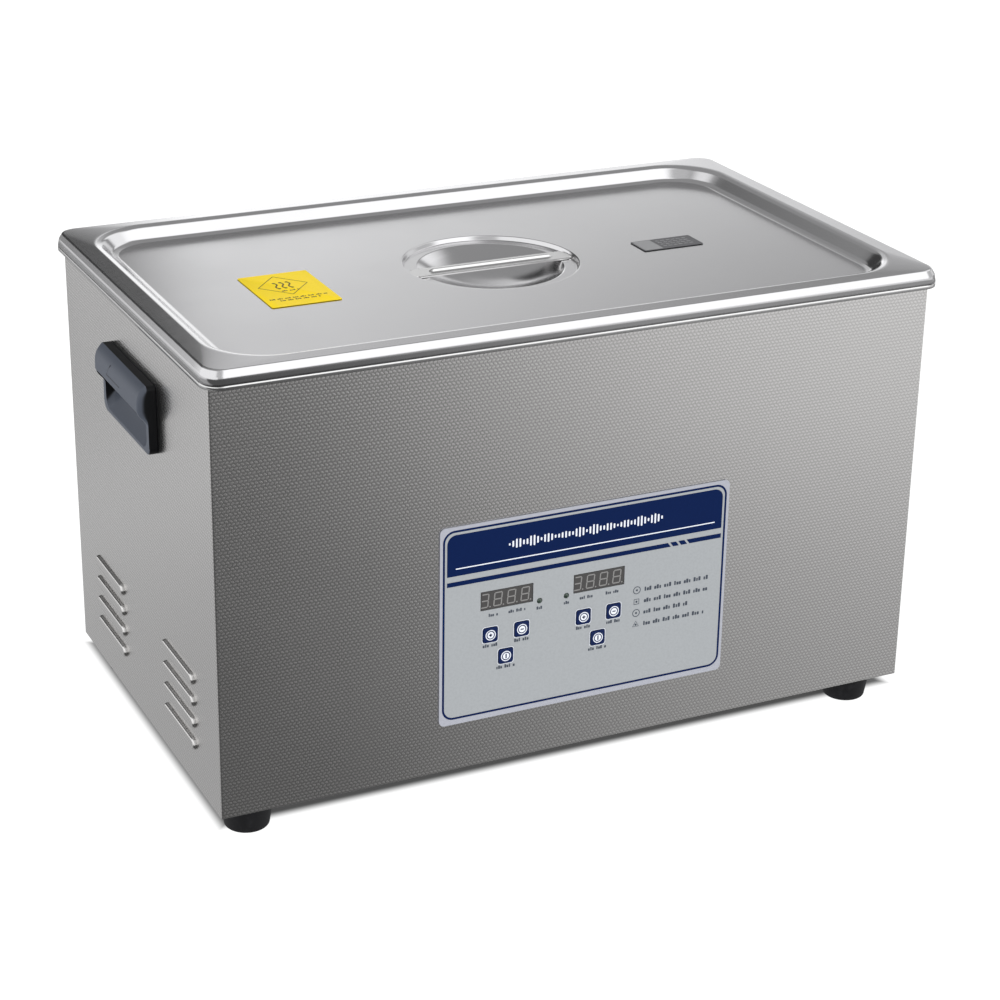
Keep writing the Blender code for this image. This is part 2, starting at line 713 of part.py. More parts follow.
def make_handle(name, parent, plastic):
    half = HANDLE_LENGTH / 2
    rounding = [half - LOWER_CORNER * (1 - math.cos(math.radians(a))) for a in (0, 25, 45, 65)]
    stations = [-y for y in rounding] + sorted(rounding)
    body = loft([across(handle_section(u), u) for u in stations])
    handle = piece(name, [body], plastic, parent, (0, HANDLE_V, 0))
    inside = half - POCKET_MARGIN
    outside = inside + HANDLE_WALL
    back = -POCKET_DEPTH - HANDLE_WALL
    rear = block((-outside, BACK_LOW, back), (outside, BACK_HIGH, PLATE_REACH / 2))
    combine(handle, "UNION", [rear])
    pocket = loft([across(pocket_section(), u) for u in (-inside, inside)])
    combine(handle, "DIFFERENCE", [pocket])


# Control panel


def panel_holes(low, high, slip):
    """Openings for the displays, lamps and key stems, between two depths."""
    half_u = DISPLAY_LENGTH / 2 + slip
    half_v = DISPLAY_HEIGHT / 2 + slip
    holes = []
    window = block((-half_u, -half_v, low), (half_u, half_v, high))
    for u in DISPLAYS.values():
        holes.append(shifted(window, u, DISPLAY_V))
    for u in LEDS.values():
        holes.append(shifted(prism(circle(LED_RADIUS + slip, 10), low, high), u, LED_V))
    for u, v in KEYS.values():
        holes.append(shifted(prism(circle(KEY_STEM_RADIUS + slip, 10), low, high), u, v))
    return holes


def board_outline():
    """Low and high corners in u and v of the control board, round everything it carries."""
    across_u = [u for u, _ in KEYS.values()]
    along_v = [v for _, v in KEYS.values()]
    half = DISPLAY_LENGTH / 2
    low_u = min(min(across_u), min(DISPLAYS.values()) - half) - BOARD_MARGIN
    high_u = max(max(across_u), max(DISPLAYS.values()) + half) + BOARD_MARGIN
    low_v = min(along_v) - BOARD_MARGIN
    high_v = DISPLAY_V + DISPLAY_HEIGHT / 2 + BOARD_MARGIN / 2
    return (low_u, low_v), (high_u, high_v)


def make_overlay(panel, film):
    outline = rounded(PANEL_LENGTH, PANEL_HEIGHT, PANEL_CORNER, 3)
    sheet = prism(outline, GAP, GAP + PANEL_THICKNESS)
    overlay = piece("panel_overlay", [sheet], film, panel)
    windows = panel_holes(-SHEET, 2 * SHEET, SLIP)[: len(DISPLAYS) + len(LEDS)]
    side = KEY_SIZE + 2 * SLIP
    for u, v in KEYS.values():
        hole = prism(rounded(side, side, KEY_CORNER + SLIP, 2), -SHEET, 2 * SHEET)
        windows.append(shifted(hole, u, v))
    combine(overlay, "DIFFERENCE", windows)


def make_displays(panel, dark, green):
    front = GAP + PANEL_THICKNESS - DISPLAY_SUNK
    back = GAP - BOARD_DEPTH
    half_u = DISPLAY_LENGTH / 2
    half_v = DISPLAY_HEIGHT / 2
    for name, u in DISPLAYS.items():
        body = block((-half_u, -half_v, back), (half_u, half_v, front))
        piece(name, [body], dark, panel, (u, DISPLAY_V, 0))
    dome = [(LED_RADIUS, back)]
    dome += [(LED_RADIUS * share, front + height) for share, height in LED_DOME]
    for name, u in LEDS.items():
        piece(name, [turned(dome, 10)], green, panel, (u, LED_V, 0))


def make_keys(panel, blue):
    front = GAP + PANEL_THICKNESS + KEY_PROUD
    back = GAP + KEY_TRAVEL
    stem_end = SWITCH_HEIGHT + GAP + KEY_TRAVEL - BOARD_DEPTH
    side = rounded(KEY_SIZE, KEY_SIZE, KEY_CORNER, 2)
    top = rounded(KEY_SIZE - 2 * KEY_BEVEL, KEY_SIZE - 2 * KEY_BEVEL, KEY_CORNER, 2)
    levels = ((side, back), (side, front - KEY_BEVEL), (top, front))
    for name, (u, v) in KEYS.items():
        cap = loft([at_height(outline, d) for outline, d in levels])
        key = piece(name, [cap], blue, panel, (u, v, 0))
        combine(key, "UNION", [prism(circle(KEY_STEM_RADIUS, 8), stem_end, back + SLIP)])


def make_control_board(panel, green, steel):
    (low_u, low_v), (high_u, high_v) = board_outline()
    front = -BOARD_DEPTH
    plate = block((low_u, low_v, front - BOARD_THICKNESS), (high_u, high_v, front))
    board = piece("control_board", [plate], green, panel)
    half = SWITCH_SIZE / 2
    button = block((-half, -half, front - BOARD_THICKNESS / 2), (half, half, front + SWITCH_HEIGHT))
    combine(board, "UNION", [shifted(button, u, v) for u, v in KEYS.values()])
    inset = STANDOFF_RADIUS + STANDOFF_MARGIN
    post = prism(circle(STANDOFF_RADIUS, 8), front + GAP, -SHEET - GAP)
    corners = {
        "lower_left": (low_u + inset, low_v + inset),
        "lower_right": (high_u - inset, low_v + inset),
        "upper_left": (low_u + inset, high_v - inset),
        "upper_right": (high_u - inset, high_v - inset),
    }
    for corner, (u, v) in corners.items():
        piece(f"board_standoff_{corner}", [post], steel, panel, (u, v, 0))


# Generator, transducers, heaters and sensor


def make_generator(cleaner, green, copper, aluminium, black):
    low = COVER_TOP + GENERATOR_LIFT
    half_x = GENERATOR_LENGTH / 2
    half_y = GENERATOR_WIDTH / 2
    plate = block((-half_x, -half_y, low), (half_x, half_y, low + BOARD_THICKNESS))
    board = piece("generator_board", [plate], green, cleaner)
    pillar = prism(circle(PILLAR_RADIUS, 8), COVER_TOP + GAP, low + BOARD_THICKNESS / 2)
    x = half_x - 2 * PILLAR_RADIUS
    y = half_y - 2 * PILLAR_RADIUS
    combine(board, "UNION", [shifted(pillar, i * x, j * y) for i in (-1, 1) for j in (-1, 1)])
    seat = low + BOARD_THICKNESS + GAP
    coil = [
        (TRANSFORMER_RADIUS, seat),
        (TRANSFORMER_RADIUS, seat + TRANSFORMER_HEIGHT),
        (TRANSFORMER_BORE, seat + TRANSFORMER_HEIGHT),
        (TRANSFORMER_BORE, seat),
    ]
    place = (TRANSFORMER_RADIUS + PART_MARGIN - half_x, 0, 0)
    piece("transformer", [turned(coil, 16, ring=True)], copper, cleaner, place)
    can = prism(circle(CAPACITOR_RADIUS, 12), seat, seat + CAPACITOR_HEIGHT)
    piece("smoothing_capacitor", [can], black, cleaner, (0, CAPACITOR_RADIUS - half_y / 2, 0))
    length, width, height = HEAT_SINK
    thick = width / (2 * HEAT_SINK_FINS - 1)
    root = FIN_ROOT * height
    comb = [(-width / 2, 0), (width / 2, 0)]
    for i in range(HEAT_SINK_FINS):
        right = width / 2 - 2 * i * thick
        comb += [(right, height), (right - thick, height)]
        if i < HEAT_SINK_FINS - 1:
            comb += [(right - thick, root), (right - 2 * thick, root)]
    ends = [[(x, y, seat + z) for y, z in comb] for x in (0, length)]
    place = (half_x - length - PART_MARGIN, 0, 0)
    piece("heat_sink", [loft(ends)], aluminium, cleaner, place)


def make_transducers(cleaner, aluminium):
    """A grid that shares out the flat floor between the two drain zones."""
    top = TANK_UNDERSIDE - GAP
    profile = [
        (TRANSDUCER_RADIUS * out, top - TRANSDUCER_HEIGHT * down) for out, down in TRANSDUCER_PROFILE
    ]
    clear = DRAIN_X - STRAINER_RADIUS
    pitch_x = 2 * clear / (TRANSDUCER_COLUMNS + 0.2)
    pitch_y = (TANK_WIDTH - 2 * TANK_FLOOR_CORNER) / TRANSDUCER_ROWS
    for row in range(TRANSDUCER_ROWS):
        for column in range(TRANSDUCER_COLUMNS):
            x = pitch_x * (column - (TRANSDUCER_COLUMNS - 1) / 2)
            y = pitch_y * (row - (TRANSDUCER_ROWS - 1) / 2)
            number = row * TRANSDUCER_COLUMNS + column + 1
            piece(f"transducer_{number}", [turned(profile, 10)], aluminium, cleaner, (x, y, 0))


def make_heating(cleaner, orange, steel):
    half = TANK_WIDTH * HEATER_SPAN / 2
    low = TANK_FLOOR + TANK_FLOOR_CORNER + HEATER_LIFT
    inner = TANK_LENGTH / 2 + TANK_SHEET + GAP
    for name, side in (("heating_pad_left", -1), ("heating_pad_right", 1)):
        near, far = sorted((side * inner, side * (inner + HEATER_THICKNESS)))
        pad = block((near, -half, low), (far, half, low + HEATER_HEIGHT))
        piece(name, [pad], orange, cleaner)
    length, width, height = SENSOR
    top = TANK_UNDERSIDE - GAP
    probe = block((-length / 2, -width / 2, top - height), (length / 2, width / 2, top))
    piece("temperature_sensor", [probe], steel, cleaner)


# Back wall


def back_holes():
    v = CASING_BOTTOM + SERVICE_V
    fan = shifted(prism(circle(FAN_BORE, 32), -2 * SHEET, SHEET), FAN_U, v)
    length, height, _ = INLET_BODY
    around = rounded(length + 2 * SLIP, height + 2 * SLIP, INLET_CORNER, 2)
    inlet = prism(around, -2 * SHEET, SHEET)
    width, tall = switch_body()
    around = rounded(width + 2 * SLIP, tall + 2 * SLIP, SWITCH_CORNER, 2)
    switch = prism(around, -2 * SHEET, SHEET)
    return [fan, shifted(inlet, INLET_U, v), shifted(switch, SWITCH_U, v)]


def make_fan(back, black, steel):
    place = (FAN_U, CASING_BOTTOM + SERVICE_V, 0)
    front = -SHEET - GAP
    rear = front - FAN_DEPTH
    plate = rear + FAN_PLATE
    square = rounded(FAN_SIZE, FAN_SIZE, FAN_CORNER, 2)
    frame = piece("fan_frame", [prism(square, rear, front)], black, back, place)
    combine(frame, "DIFFERENCE", [prism(circle(FAN_BORE, 32), plate, front + SHEET)])
    near = FAN_HUB + HUB_BEVEL
    far = FAN_BORE - FAN_MARGIN
    openings = []
    for quarter in range(4):
        angles = [math.radians(90 * quarter + a) for a in FAN_SECTOR]
        sector = [(near * math.cos(a), near * math.sin(a)) for a in angles]
        sector += [(far * math.cos(a), far * math.sin(a)) for a in reversed(angles)]
        openings.append(prism(sector, rear - SHEET, plate + SHEET))
    combine(frame, "DIFFERENCE", openings)
    bearing = prism(circle(FAN_SHAFT + SLIP, 12), rear - SHEET, plate + SHEET)
    combine(frame, "DIFFERENCE", [bearing])

    nose = front - HUB_BEVEL
    tail = plate + FAN_PLATE / 2
    hub = [
        (FAN_HUB - HUB_BEVEL, nose),
        (FAN_HUB, nose - HUB_BEVEL),
        (FAN_HUB, tail),
        (FAN_SHAFT, tail),
        (FAN_SHAFT, rear + SHAFT_RECESS),
    ]
    rotor = piece("fan_rotor", [turned(hub, 21)], black, back, place)
    depth = nose - BLADE_SETBACK - tail
    middle = tail + SHAFT_RECESS + depth / 2
    root, tip = (math.radians(turn) for turn in BLADE_TURNS)
    half_chord = depth / 2 / math.sin(tip)
    blade = []
    for reach, turn in ((FAN_HUB - FAN_MARGIN, root), (FAN_BORE - 1.5 * FAN_MARGIN, tip)):
        chord = Vector((0, math.cos(turn), math.sin(turn))) * half_chord
        thick = Vector((0, -math.sin(turn), math.cos(turn))) * BLADE_THICKNESS / 2
        centre = Vector((reach, 0, middle))
        corners = (chord + thick, thick - chord, -chord - thick, chord - thick)
        blade.append([tuple(centre + corner) for corner in corners])
    wing = loft(blade)
    turns = [Matrix.Rotation(2 * math.pi * i / FAN_BLADES, 4, "Z") for i in range(FAN_BLADES)]
    combine(rotor, "UNION", [moved(wing, turn) for turn in turns])

    low, high = GAP, GAP + GUARD_THICKNESS
    rings = []
    for inner in [FAN_BORE * share for share in GUARD_RINGS]:
        outer = inner + GUARD_WIRE
        section = [(outer, low), (outer, high), (inner, high), (inner, low)]
        rings.append(turned(section, 24, ring=True))
    guard = piece("fan_guard", rings[:1], steel, back, place)
    reach = 0.98 * FAN_SIZE / math.sqrt(2)
    half = GUARD_BAR / 2
    bar = block((-reach, -half, low + BAR_INSET), (reach, half, high - BAR_INSET))
    for angle in (45, 135):
        combine(guard, "UNION", [moved(bar, Matrix.Rotation(math.radians(angle), 4, "Z"))])
    for ring in rings[1:]:
        combine(guard, "UNION", [ring])


def make_inlet(back, black):
    length, height, depth = INLET_BODY
    place = (INLET_U, CASING_BOTTOM + SERVICE_V, 0)
    around = rounded(length + 4 * BEZEL, height + 3 * BEZEL, 1.5 * INLET_CORNER, 2)
    inlet = piece("mains_inlet", [prism(around, GAP, GAP + BEZEL)], black, back, place)
    body = prism(rounded(length, height, INLET_CORNER, 2), -depth, GAP + BEZEL / 2)
    combine(inlet, "UNION", [body])
    wide, tall, deep = INLET_SOCKET
    socket = prism(rounded(wide, tall, INLET_CORNER, 2), -deep, 3 * BEZEL)
    combine(inlet, "DIFFERENCE", [socket])
    half_u, half_v = PIN_HALF
    pin = block((-half_u, -half_v, -deep - PIN_ROOT), (half_u, half_v, -PIN_TIP))
    combine(inlet, "UNION", [shifted(pin, u, v) for u, v in PINS])


def switch_body():
    """Width and height of the switch frame that goes through the wall."""
    width, tall = ROCKER
    return width + 2 * (SLIP + SWITCH_WALL), tall + 2 * (2 * SLIP + SWITCH_WALL)


def make_power_switch(back, black, red):
    place = (SWITCH_U, CASING_BOTTOM + SERVICE_V, 0)
    width, tall = ROCKER
    body_width, body_tall = switch_body()
    around = rounded(body_width + 2 * BEZEL, body_tall + 2 * BEZEL, 2 * SWITCH_CORNER, 2)
    frame = piece("power_switch_frame", [prism(around, GAP, GAP + BEZEL)], black, back, place)
    body = rounded(body_width, body_tall, SWITCH_CORNER, 2)
    combine(frame, "UNION", [prism(body, -SWITCH_DEPTH, GAP + BEZEL / 2)])
    half_u = width / 2 + SLIP
    half_v = tall / 2 + 2 * SLIP
    well = block((-half_u, -half_v, SHEET - SWITCH_DEPTH), (half_u, half_v, 3 * BEZEL))
    combine(frame, "DIFFERENCE", [well])
    socket = half_u + SWITCH_WALL - SOCKET_MARGIN
    bore = prism(circle(PIVOT_RADIUS + SLIP, 12), -socket, socket)
    combine(frame, "DIFFERENCE", [lying(bore, 0, 0, PIVOT_DEPTH)])
    half = tall / 2
    edge, dip = ROCKER_FACE
    off_face, off_back = ROCKER_TAPER
    outline = [
        (edge, -half + off_face),
        (dip, 0),
        (edge, half - off_face),
        (-ROCKER_BACK, half - off_back),
        (-ROCKER_BACK, -half + off_back),
    ]
    hinge = (SWITCH_U, CASING_BOTTOM + SERVICE_V, PIVOT_DEPTH)
    tilt = Matrix.Rotation(ROCKER_TILT, 4, "X")
    cap = moved(loft([across(outline, u) for u in (-width / 2, width / 2)]), tilt)
    rocker = piece("power_switch_rocker", [cap], red, back, hinge)
    reach = socket - SOCKET_MARGIN
    combine(rocker, "UNION", [lying(prism(circle(PIVOT_RADIUS, 12), -reach, reach))])


# Drain


def drain_path(start):
    """Down from the tank floor, round a bend and out through the end wall."""
    level = CASING_BOTTOM + DRAIN_V
    stations = [(Vector((DRAIN_X, 0, start)), 0.0)]
    for step in range(6):
        turn = math.pi / 2 * step / 5
        x = DRAIN_X + PIPE_BEND * (1 - math.cos(turn))
        z = level + PIPE_BEND * (1 - math.sin(turn))
        stations.append((Vector((x, 0, z)), turn))
    end = CASING_LENGTH / 2 + PIPE_RADIUS
    stations.append((Vector((end, 0, level)), math.pi / 2))
    return stations


def make_drain(cleaner, right, steel, brass, blue):
    top = TANK_FLOOR + GAP + TANK_SHEET * 1.5
    shoulder = TANK_FLOOR + GAP
    bore = PIPE_RADIUS - PIPE_WALL
    foot = TANK_UNDERSIDE - PIPE_DROP
    strainer = [
        (bore, top),
        (STRAINER_RADIUS, top),
        (STRAINER_RADIUS, shoulder),
        (PIPE_RADIUS, shoulder),
        (PIPE_RADIUS, foot),
        (bore, foot),
    ]
    piece("drain_strainer", [turned(strainer, 16, ring=True)], steel, cleaner, (DRAIN_X, 0, 0))

    stations = drain_path(foot - GAP)

    def rings(radius):
        """A circle square to the pipe at each station along its path."""
        made = []
        for centre, turn in stations:
            flat = Vector((math.cos(turn), 0, math.sin(turn)))
            ring = [centre + flat * a + Vector((0, b, 0)) for a, b in circle(radius, 12)]
            made.append([tuple(point) for point in ring])
        return made

    tube = loft(rings(PIPE_RADIUS) + rings(bore)[::-1], ring=True)
    piece("drain_pipe", [tube], steel, cleaner)

    level = CASING_BOTTOM + DRAIN_V
    pipe_end = PIPE_RADIUS
    socket = PIPE_RADIUS + SLIP
    cavity = BALL_RADIUS + SLIP
    way = bore - WAY_STEP
    mouth = math.degrees(math.acos(way / cavity))
    seat = [math.radians(mouth * (1 - step / 3)) for step in range(7)]
    nut_end = GAP + TAP_NUT_LENGTH
    body_end = BALL_PLACE + TAP_RADIUS
    profile = [
        (TAP_NUT_RADIUS, GAP),
        (TAP_NUT_RADIUS, nut_end),
        (TAP_RADIUS, nut_end),
        (TAP_RADIUS, body_end),
        (way, body_end),
    ]
    profile += [(cavity * math.cos(a), BALL_PLACE + cavity * math.sin(a)) for a in seat]
    profile += [(way, pipe_end + GAP), (socket, pipe_end + GAP), (socket, GAP)]
    tap = piece("drain_tap_body", [turned(profile, 12, ring=True)], brass, right, (0, level, 0))
    stem_way = prism(circle(STEM_RADIUS + SLIP, 12), 0, 2 * TAP_RADIUS)
    upright = Matrix.Translation((0, 0, BALL_PLACE)) @ Matrix.Rotation(-math.pi / 2, 4, "X")
    combine(tap, "DIFFERENCE", [moved(stem_way, upright)])

    barb = TAP_LENGTH - BARB_LENGTH
    spout = [
        (TAP_RADIUS, body_end + GAP),
        (PIPE_RADIUS, body_end + TAP_SHOULDER),
        (PIPE_RADIUS, barb),
        (PIPE_RADIUS + BARB_PROUD, barb),
        (PIPE_RADIUS - BARB_TAPER, TAP_LENGTH),
        (way, TAP_LENGTH),
        (way, body_end + GAP),
    ]
    piece("drain_tap_nozzle", [turned(spout, 12, ring=True)], brass, right, (0, level, 0))

    hinge = (0, level, BALL_PLACE)
    rows = [math.radians(a) for a in (-80, -50, -20, 20, 50, 80)]
    sphere = [(BALL_RADIUS * math.cos(a), BALL_RADIUS * math.sin(a)) for a in rows]
    ball = piece("drain_tap_ball", [standing(turned(sphere, 12))], steel, right, hinge)
    combine(ball, "DIFFERENCE", [lying(prism(circle(way, 12), -2 * BALL_RADIUS, 2 * BALL_RADIUS))])
    crown = TAP_RADIUS + LEVER_LIFT
    stem = prism(circle(STEM_RADIUS, 12), BALL_RADIUS + GAP, crown + LEVER_THICKNESS / 2)
    lever = piece("drain_tap_lever", [standing(stem)], blue, right, hinge)
    half = LEVER_WIDTH / 2
    tip = half - LEVER_LENGTH
    narrow = half * LEVER_TIP
    flat = [(half, -half), (half, half), (tip, narrow), (tip, -narrow)]
    arm = loft([[(u, v, d) for u, d in flat] for v in (crown, crown + LEVER_THICKNESS)])
    combine(lever, "UNION", [arm])


def main():
    for old in list(bpy.data.objects):
        bpy.data.objects.remove(old)

    casing_steel = finish("casing_steel", (0.55, 0.53, 0.51), 0.38, 1.0)
    bright_steel = finish("bright_steel", (0.66, 0.66, 0.66), 0.25, 1.0)
    lid_steel = finish("lid_steel", (0.62, 0.62, 0.63), 0.3, 1.0)
    screw_steel = finish("screw_steel", (0.6, 0.6, 0.58), 0.35, 1.0)
    rubber = finish("foot_rubber", (0.02, 0.02, 0.02), 0.75)
    slate_plastic = finish("slate_plastic", (0.1, 0.12, 0.15), 0.5)
    black_plastic = finish("black_plastic", (0.02, 0.02, 0.022), 0.45)
    red_plastic = finish("red_plastic", (0.5, 0.02, 0.02), 0.3)
    blue_plastic = finish("blue_plastic", (0.02, 0.1, 0.45), 0.4)
    panel_film = finish("panel_film", (0.58, 0.65, 0.72), 0.35)
    key_blue = finish("key_blue", (0.02, 0.05, 0.2), 0.35)
    display_glass = finish("display_glass", (0.03, 0.03, 0.035), 0.15)
    led_lens = finish("led_lens", (0.1, 0.3, 0.12), 0.2)
    label_yellow = finish("label_yellow", (0.9, 0.7, 0.06), 0.4)
    label_grey = finish("label_grey", (0.16, 0.16, 0.17), 0.45)
    board_green = finish("board_green", (0.02, 0.18, 0.07), 0.5)
    copper = finish("copper_winding", (0.7, 0.3, 0.12), 0.35, 1.0)
    aluminium = finish("aluminium", (0.75, 0.75, 0.76), 0.35, 1.0)
    heater_orange = finish("heater_silicone", (0.55, 0.13, 0.03), 0.6)
    brass = finish("plated_brass", (0.7, 0.68, 0.6), 0.25, 1.0)

    cleaner = empty("cleaner", None, Matrix.Translation((SHIFT_X, 0, 0)))
    lid = empty("lid", cleaner)
    half_length, half_width = CASING_LENGTH / 2, CASING_WIDTH / 2
    walls = {
        "front": wall("front_wall", cleaner, (1, 0, 0), (0, -1, 0), half_width),
        "back": wall("back_wall", cleaner, (-1, 0, 0), (0, 1, 0), half_width),
        "left": wall("left_wall", cleaner, (0, -1, 0), (-1, 0, 0), half_length),
        "right": wall("right_wall", cleaner, (0, 1, 0), (1, 0, 0), half_length),
    }
    middle = Matrix.Translation((PANEL_U, CASING_BOTTOM + PANEL_RISE, 0))
    walls["panel"] = empty("panel", walls["front"], middle)

    make_casing(cleaner, walls, casing_steel)
    make_bottom_cover(cleaner, bright_steel)
    make_feet(cleaner, rubber, screw_steel)
    make_tank(cleaner, bright_steel)
    make_lid(lid, lid_steel)
    make_grip(lid, lid_steel)
    make_labels(lid, label_yellow, label_grey)
    make_handle("handle_left", walls["left"], slate_plastic)
    make_handle("handle_right", walls["right"], slate_plastic)
    make_overlay(walls["panel"], panel_film)
    make_displays(walls["panel"], display_glass, led_lens)
    make_keys(walls["panel"], key_blue)
    make_control_board(walls["panel"], board_green, screw_steel)
    make_generator(cleaner, board_green, copper, aluminium, black_plastic)
    make_transducers(cleaner, aluminium)
    make_heating(cleaner, heater_orange, screw_steel)
    make_fan(walls["back"], black_plastic, screw_steel)
    make_inlet(walls["back"], black_plastic)
    make_power_switch(walls["back"], black_plastic, red_plastic)
    make_drain(cleaner, walls["right"], bright_steel, brass, blue_plastic)


main()
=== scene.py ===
"""The looks of a 22 litre bench-top ultrasonic cleaner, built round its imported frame.

Lengths are metres. Pieces on a wall are drawn in that wall's own frame, as (u, v, d): u to the
right as seen from outside, v up and d outwards from the wall. A body is a pair of points and
faces, and a piece is one object made of one or more bodies.
"""

import json
import math

import bpy
import numpy as np
from mathutils import Matrix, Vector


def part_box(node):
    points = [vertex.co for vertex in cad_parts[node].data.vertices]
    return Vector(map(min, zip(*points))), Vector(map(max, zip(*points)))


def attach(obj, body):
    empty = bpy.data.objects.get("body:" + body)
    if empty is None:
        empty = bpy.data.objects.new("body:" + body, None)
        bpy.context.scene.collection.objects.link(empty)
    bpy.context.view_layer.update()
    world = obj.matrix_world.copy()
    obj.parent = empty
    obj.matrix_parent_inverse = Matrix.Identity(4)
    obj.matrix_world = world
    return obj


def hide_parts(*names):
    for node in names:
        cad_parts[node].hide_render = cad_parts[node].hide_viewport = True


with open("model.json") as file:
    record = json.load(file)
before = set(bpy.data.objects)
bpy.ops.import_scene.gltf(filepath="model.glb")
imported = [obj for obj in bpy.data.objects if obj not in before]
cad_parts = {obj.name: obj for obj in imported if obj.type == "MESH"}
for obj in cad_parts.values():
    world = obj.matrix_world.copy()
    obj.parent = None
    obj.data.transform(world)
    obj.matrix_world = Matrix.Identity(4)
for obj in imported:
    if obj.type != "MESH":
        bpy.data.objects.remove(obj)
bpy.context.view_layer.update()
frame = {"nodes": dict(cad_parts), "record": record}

MM = 0.001
UP = (0, 0, 1)

# The frame's own places
CASING_LOW, CASING_HIGH = (np.array(corner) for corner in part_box("casing"))
LID_LOW, LID_HIGH = (np.array(corner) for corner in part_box("lid_pan"))
FILM_LOW, FILM_HIGH = (np.array(corner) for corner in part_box("panel_overlay"))
LOUVRE_REACH = 2.2 * MM
CENTRE_X = (CASING_LOW[0] + CASING_HIGH[0]) / 2
END_WALL = (CASING_HIGH[0] - CASING_LOW[0]) / 2 - LOUVRE_REACH
SIDE_WALL = CASING_HIGH[1]
RIM_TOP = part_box("tank")[1][2]
LID_TOP = LID_HIGH[2]
RIM_LENGTH, RIM_WIDTH = (LID_HIGH - LID_LOW)[:2]
PANEL = (FILM_LOW + FILM_HIGH) / 2

# Pressed sheet: the lid and the tank
SHEET = 1 * MM
LID_HEIGHT = 9.5 * MM
RECESS_DEPTH, RECESS_RUN = 9.4 * MM, 14.3 * MM
RECESS_FLOOR = LID_TOP - RECESS_DEPTH
FLARE, FLARE_DROP = 3 * MM, 4.5 * MM
FLANGE_RUN, FLANGE_FALL = 12 * MM, 0.6 * MM
SKIRT_LEAN = 0.9 * MM
RECESS_TOP = (498 * MM, 297 * MM, 44 * MM)
RECESS_BASE = (469.4 * MM, 268.4 * MM, 30 * MM)
DISH_RADIUS = 61.8 * MM
DISH_STEP, DISH_STEP_RUN = 3 * MM, 1.5 * MM
LEDGE = RECESS_FLOOR - DISH_STEP
BOWL_RADIUS, BOWL_DEPTH = 51.4 * MM, 14 * MM
TANK_INSIDE = (498 * MM, 296 * MM, 44 * MM)
TANK_DEPTH = 150 * MM
TANK_FLOOR_CORNER = 20 * MM
RIM_DROP, RIM_CORNER = 3 * MM, 13 * MM

# Louvres on the end walls
LOUVRE_LENGTH, LOUVRE_HEIGHT = 62 * MM, 8 * MM
LOUVRE_COLUMN = 75 * MM
LOUVRE_ROWS = [CASING_LOW[2] + height * MM for height in (31, 47, 63, 79)]

# Handles on the end walls: heights are from a handle's middle, and reaches and depths from the wall
HANDLE_V = float((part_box("handle_left")[0][2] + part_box("handle_left")[1][2]) / 2)
HANDLE_HALF_LENGTH, HANDLE_HALF_HEIGHT = 49 * MM, 24.25 * MM
LOWER_CORNER, UPPER_CORNER = 6 * MM, 3 * MM
PLATE_REACH, HOOD_REACH = 6 * MM, 12.3 * MM
HOOD_LIP, HOOD_EDGE = 6.2 * MM, (0.6 * MM, 0.3 * MM)  # height, and how far its inner edge is in and down
CHEEK_FOOT = -3.8 * MM
POCKET_HALF, POCKET_WALL = 44 * MM, 1.5 * MM
POCKET_DEPTH, POCKET_TOP = 7.5 * MM, 15.5 * MM
SCOOP_CORNER, SCOOP_FOOT = 8 * MM, -21 * MM  # the pocket's lower edge, with its round ends

# Print, and the film on the panel that most of it is on
PRINT = 0.06 * MM
FILM_FACE = -FILM_LOW[1] - SIDE_WALL
PRINT_BACK, PRINT_FACE = FILM_FACE - PRINT, FILM_FACE + PRINT
OVER_PRINT = PRINT_FACE + 0.04 * MM
KEY_NAMES = [name for name in frame["nodes"] if name.endswith("_key")]


# Shapes


def rounded(length, width, radius, long=20, arc=16, short=12):
    """A round-cornered rectangle's points, anticlockwise from the middle of its +X side.

    A quarter is half the short side, a quarter circle about the corner's own centre and half the
    long side. The second quarter is the first mirrored in X and read backwards, and the second
    half is the first turned by 180 degrees, so outlines with equal counts pair off point by point.
    """
    half = np.array([length, width]) / 2
    rise = np.linspace(0, 1, short, endpoint=False)[:, None]
    turn = np.linspace(0, math.pi / 2, arc, endpoint=False)
    run = np.linspace(1, 0, long + 1)[:, None]
    side = np.concatenate([np.full_like(rise, half[0]), rise * (half[1] - radius)], 1)
    corner = half - radius + radius * np.stack([np.cos(turn), np.sin(turn)], 1)
    top = np.concatenate([run * (half[0] - radius), np.full_like(run, half[1])], 1)
    quarter = np.concatenate([side, corner, top])
    upper = np.concatenate([quarter, quarter[-2:0:-1] * (-1, 1)])
    return np.concatenate([upper, -upper])


def circle(radius, count=64, centre=(0, 0)):
    """Points at equal angles round a centre."""
    angle = np.linspace(0, 2 * math.pi, count, endpoint=False)
    return np.array(centre) + radius * np.stack([np.cos(angle), np.sin(angle)], 1)


def facing(outline, centre, radius):
    """A circle's points, each on the straight line from its centre to one point of an outline."""
    away = outline - np.array(centre)
    return np.array(centre) + radius * away / np.linalg.norm(away, axis=1)[:, None]


def at(outline, height):
    """A flat outline lifted to a height, which may differ from point to point."""
    outline = np.asarray(outline, float)
    heights = np.broadcast_to(np.asarray(height, float), outline.shape[:1])
    return np.concatenate([outline, heights[:, None]], 1)


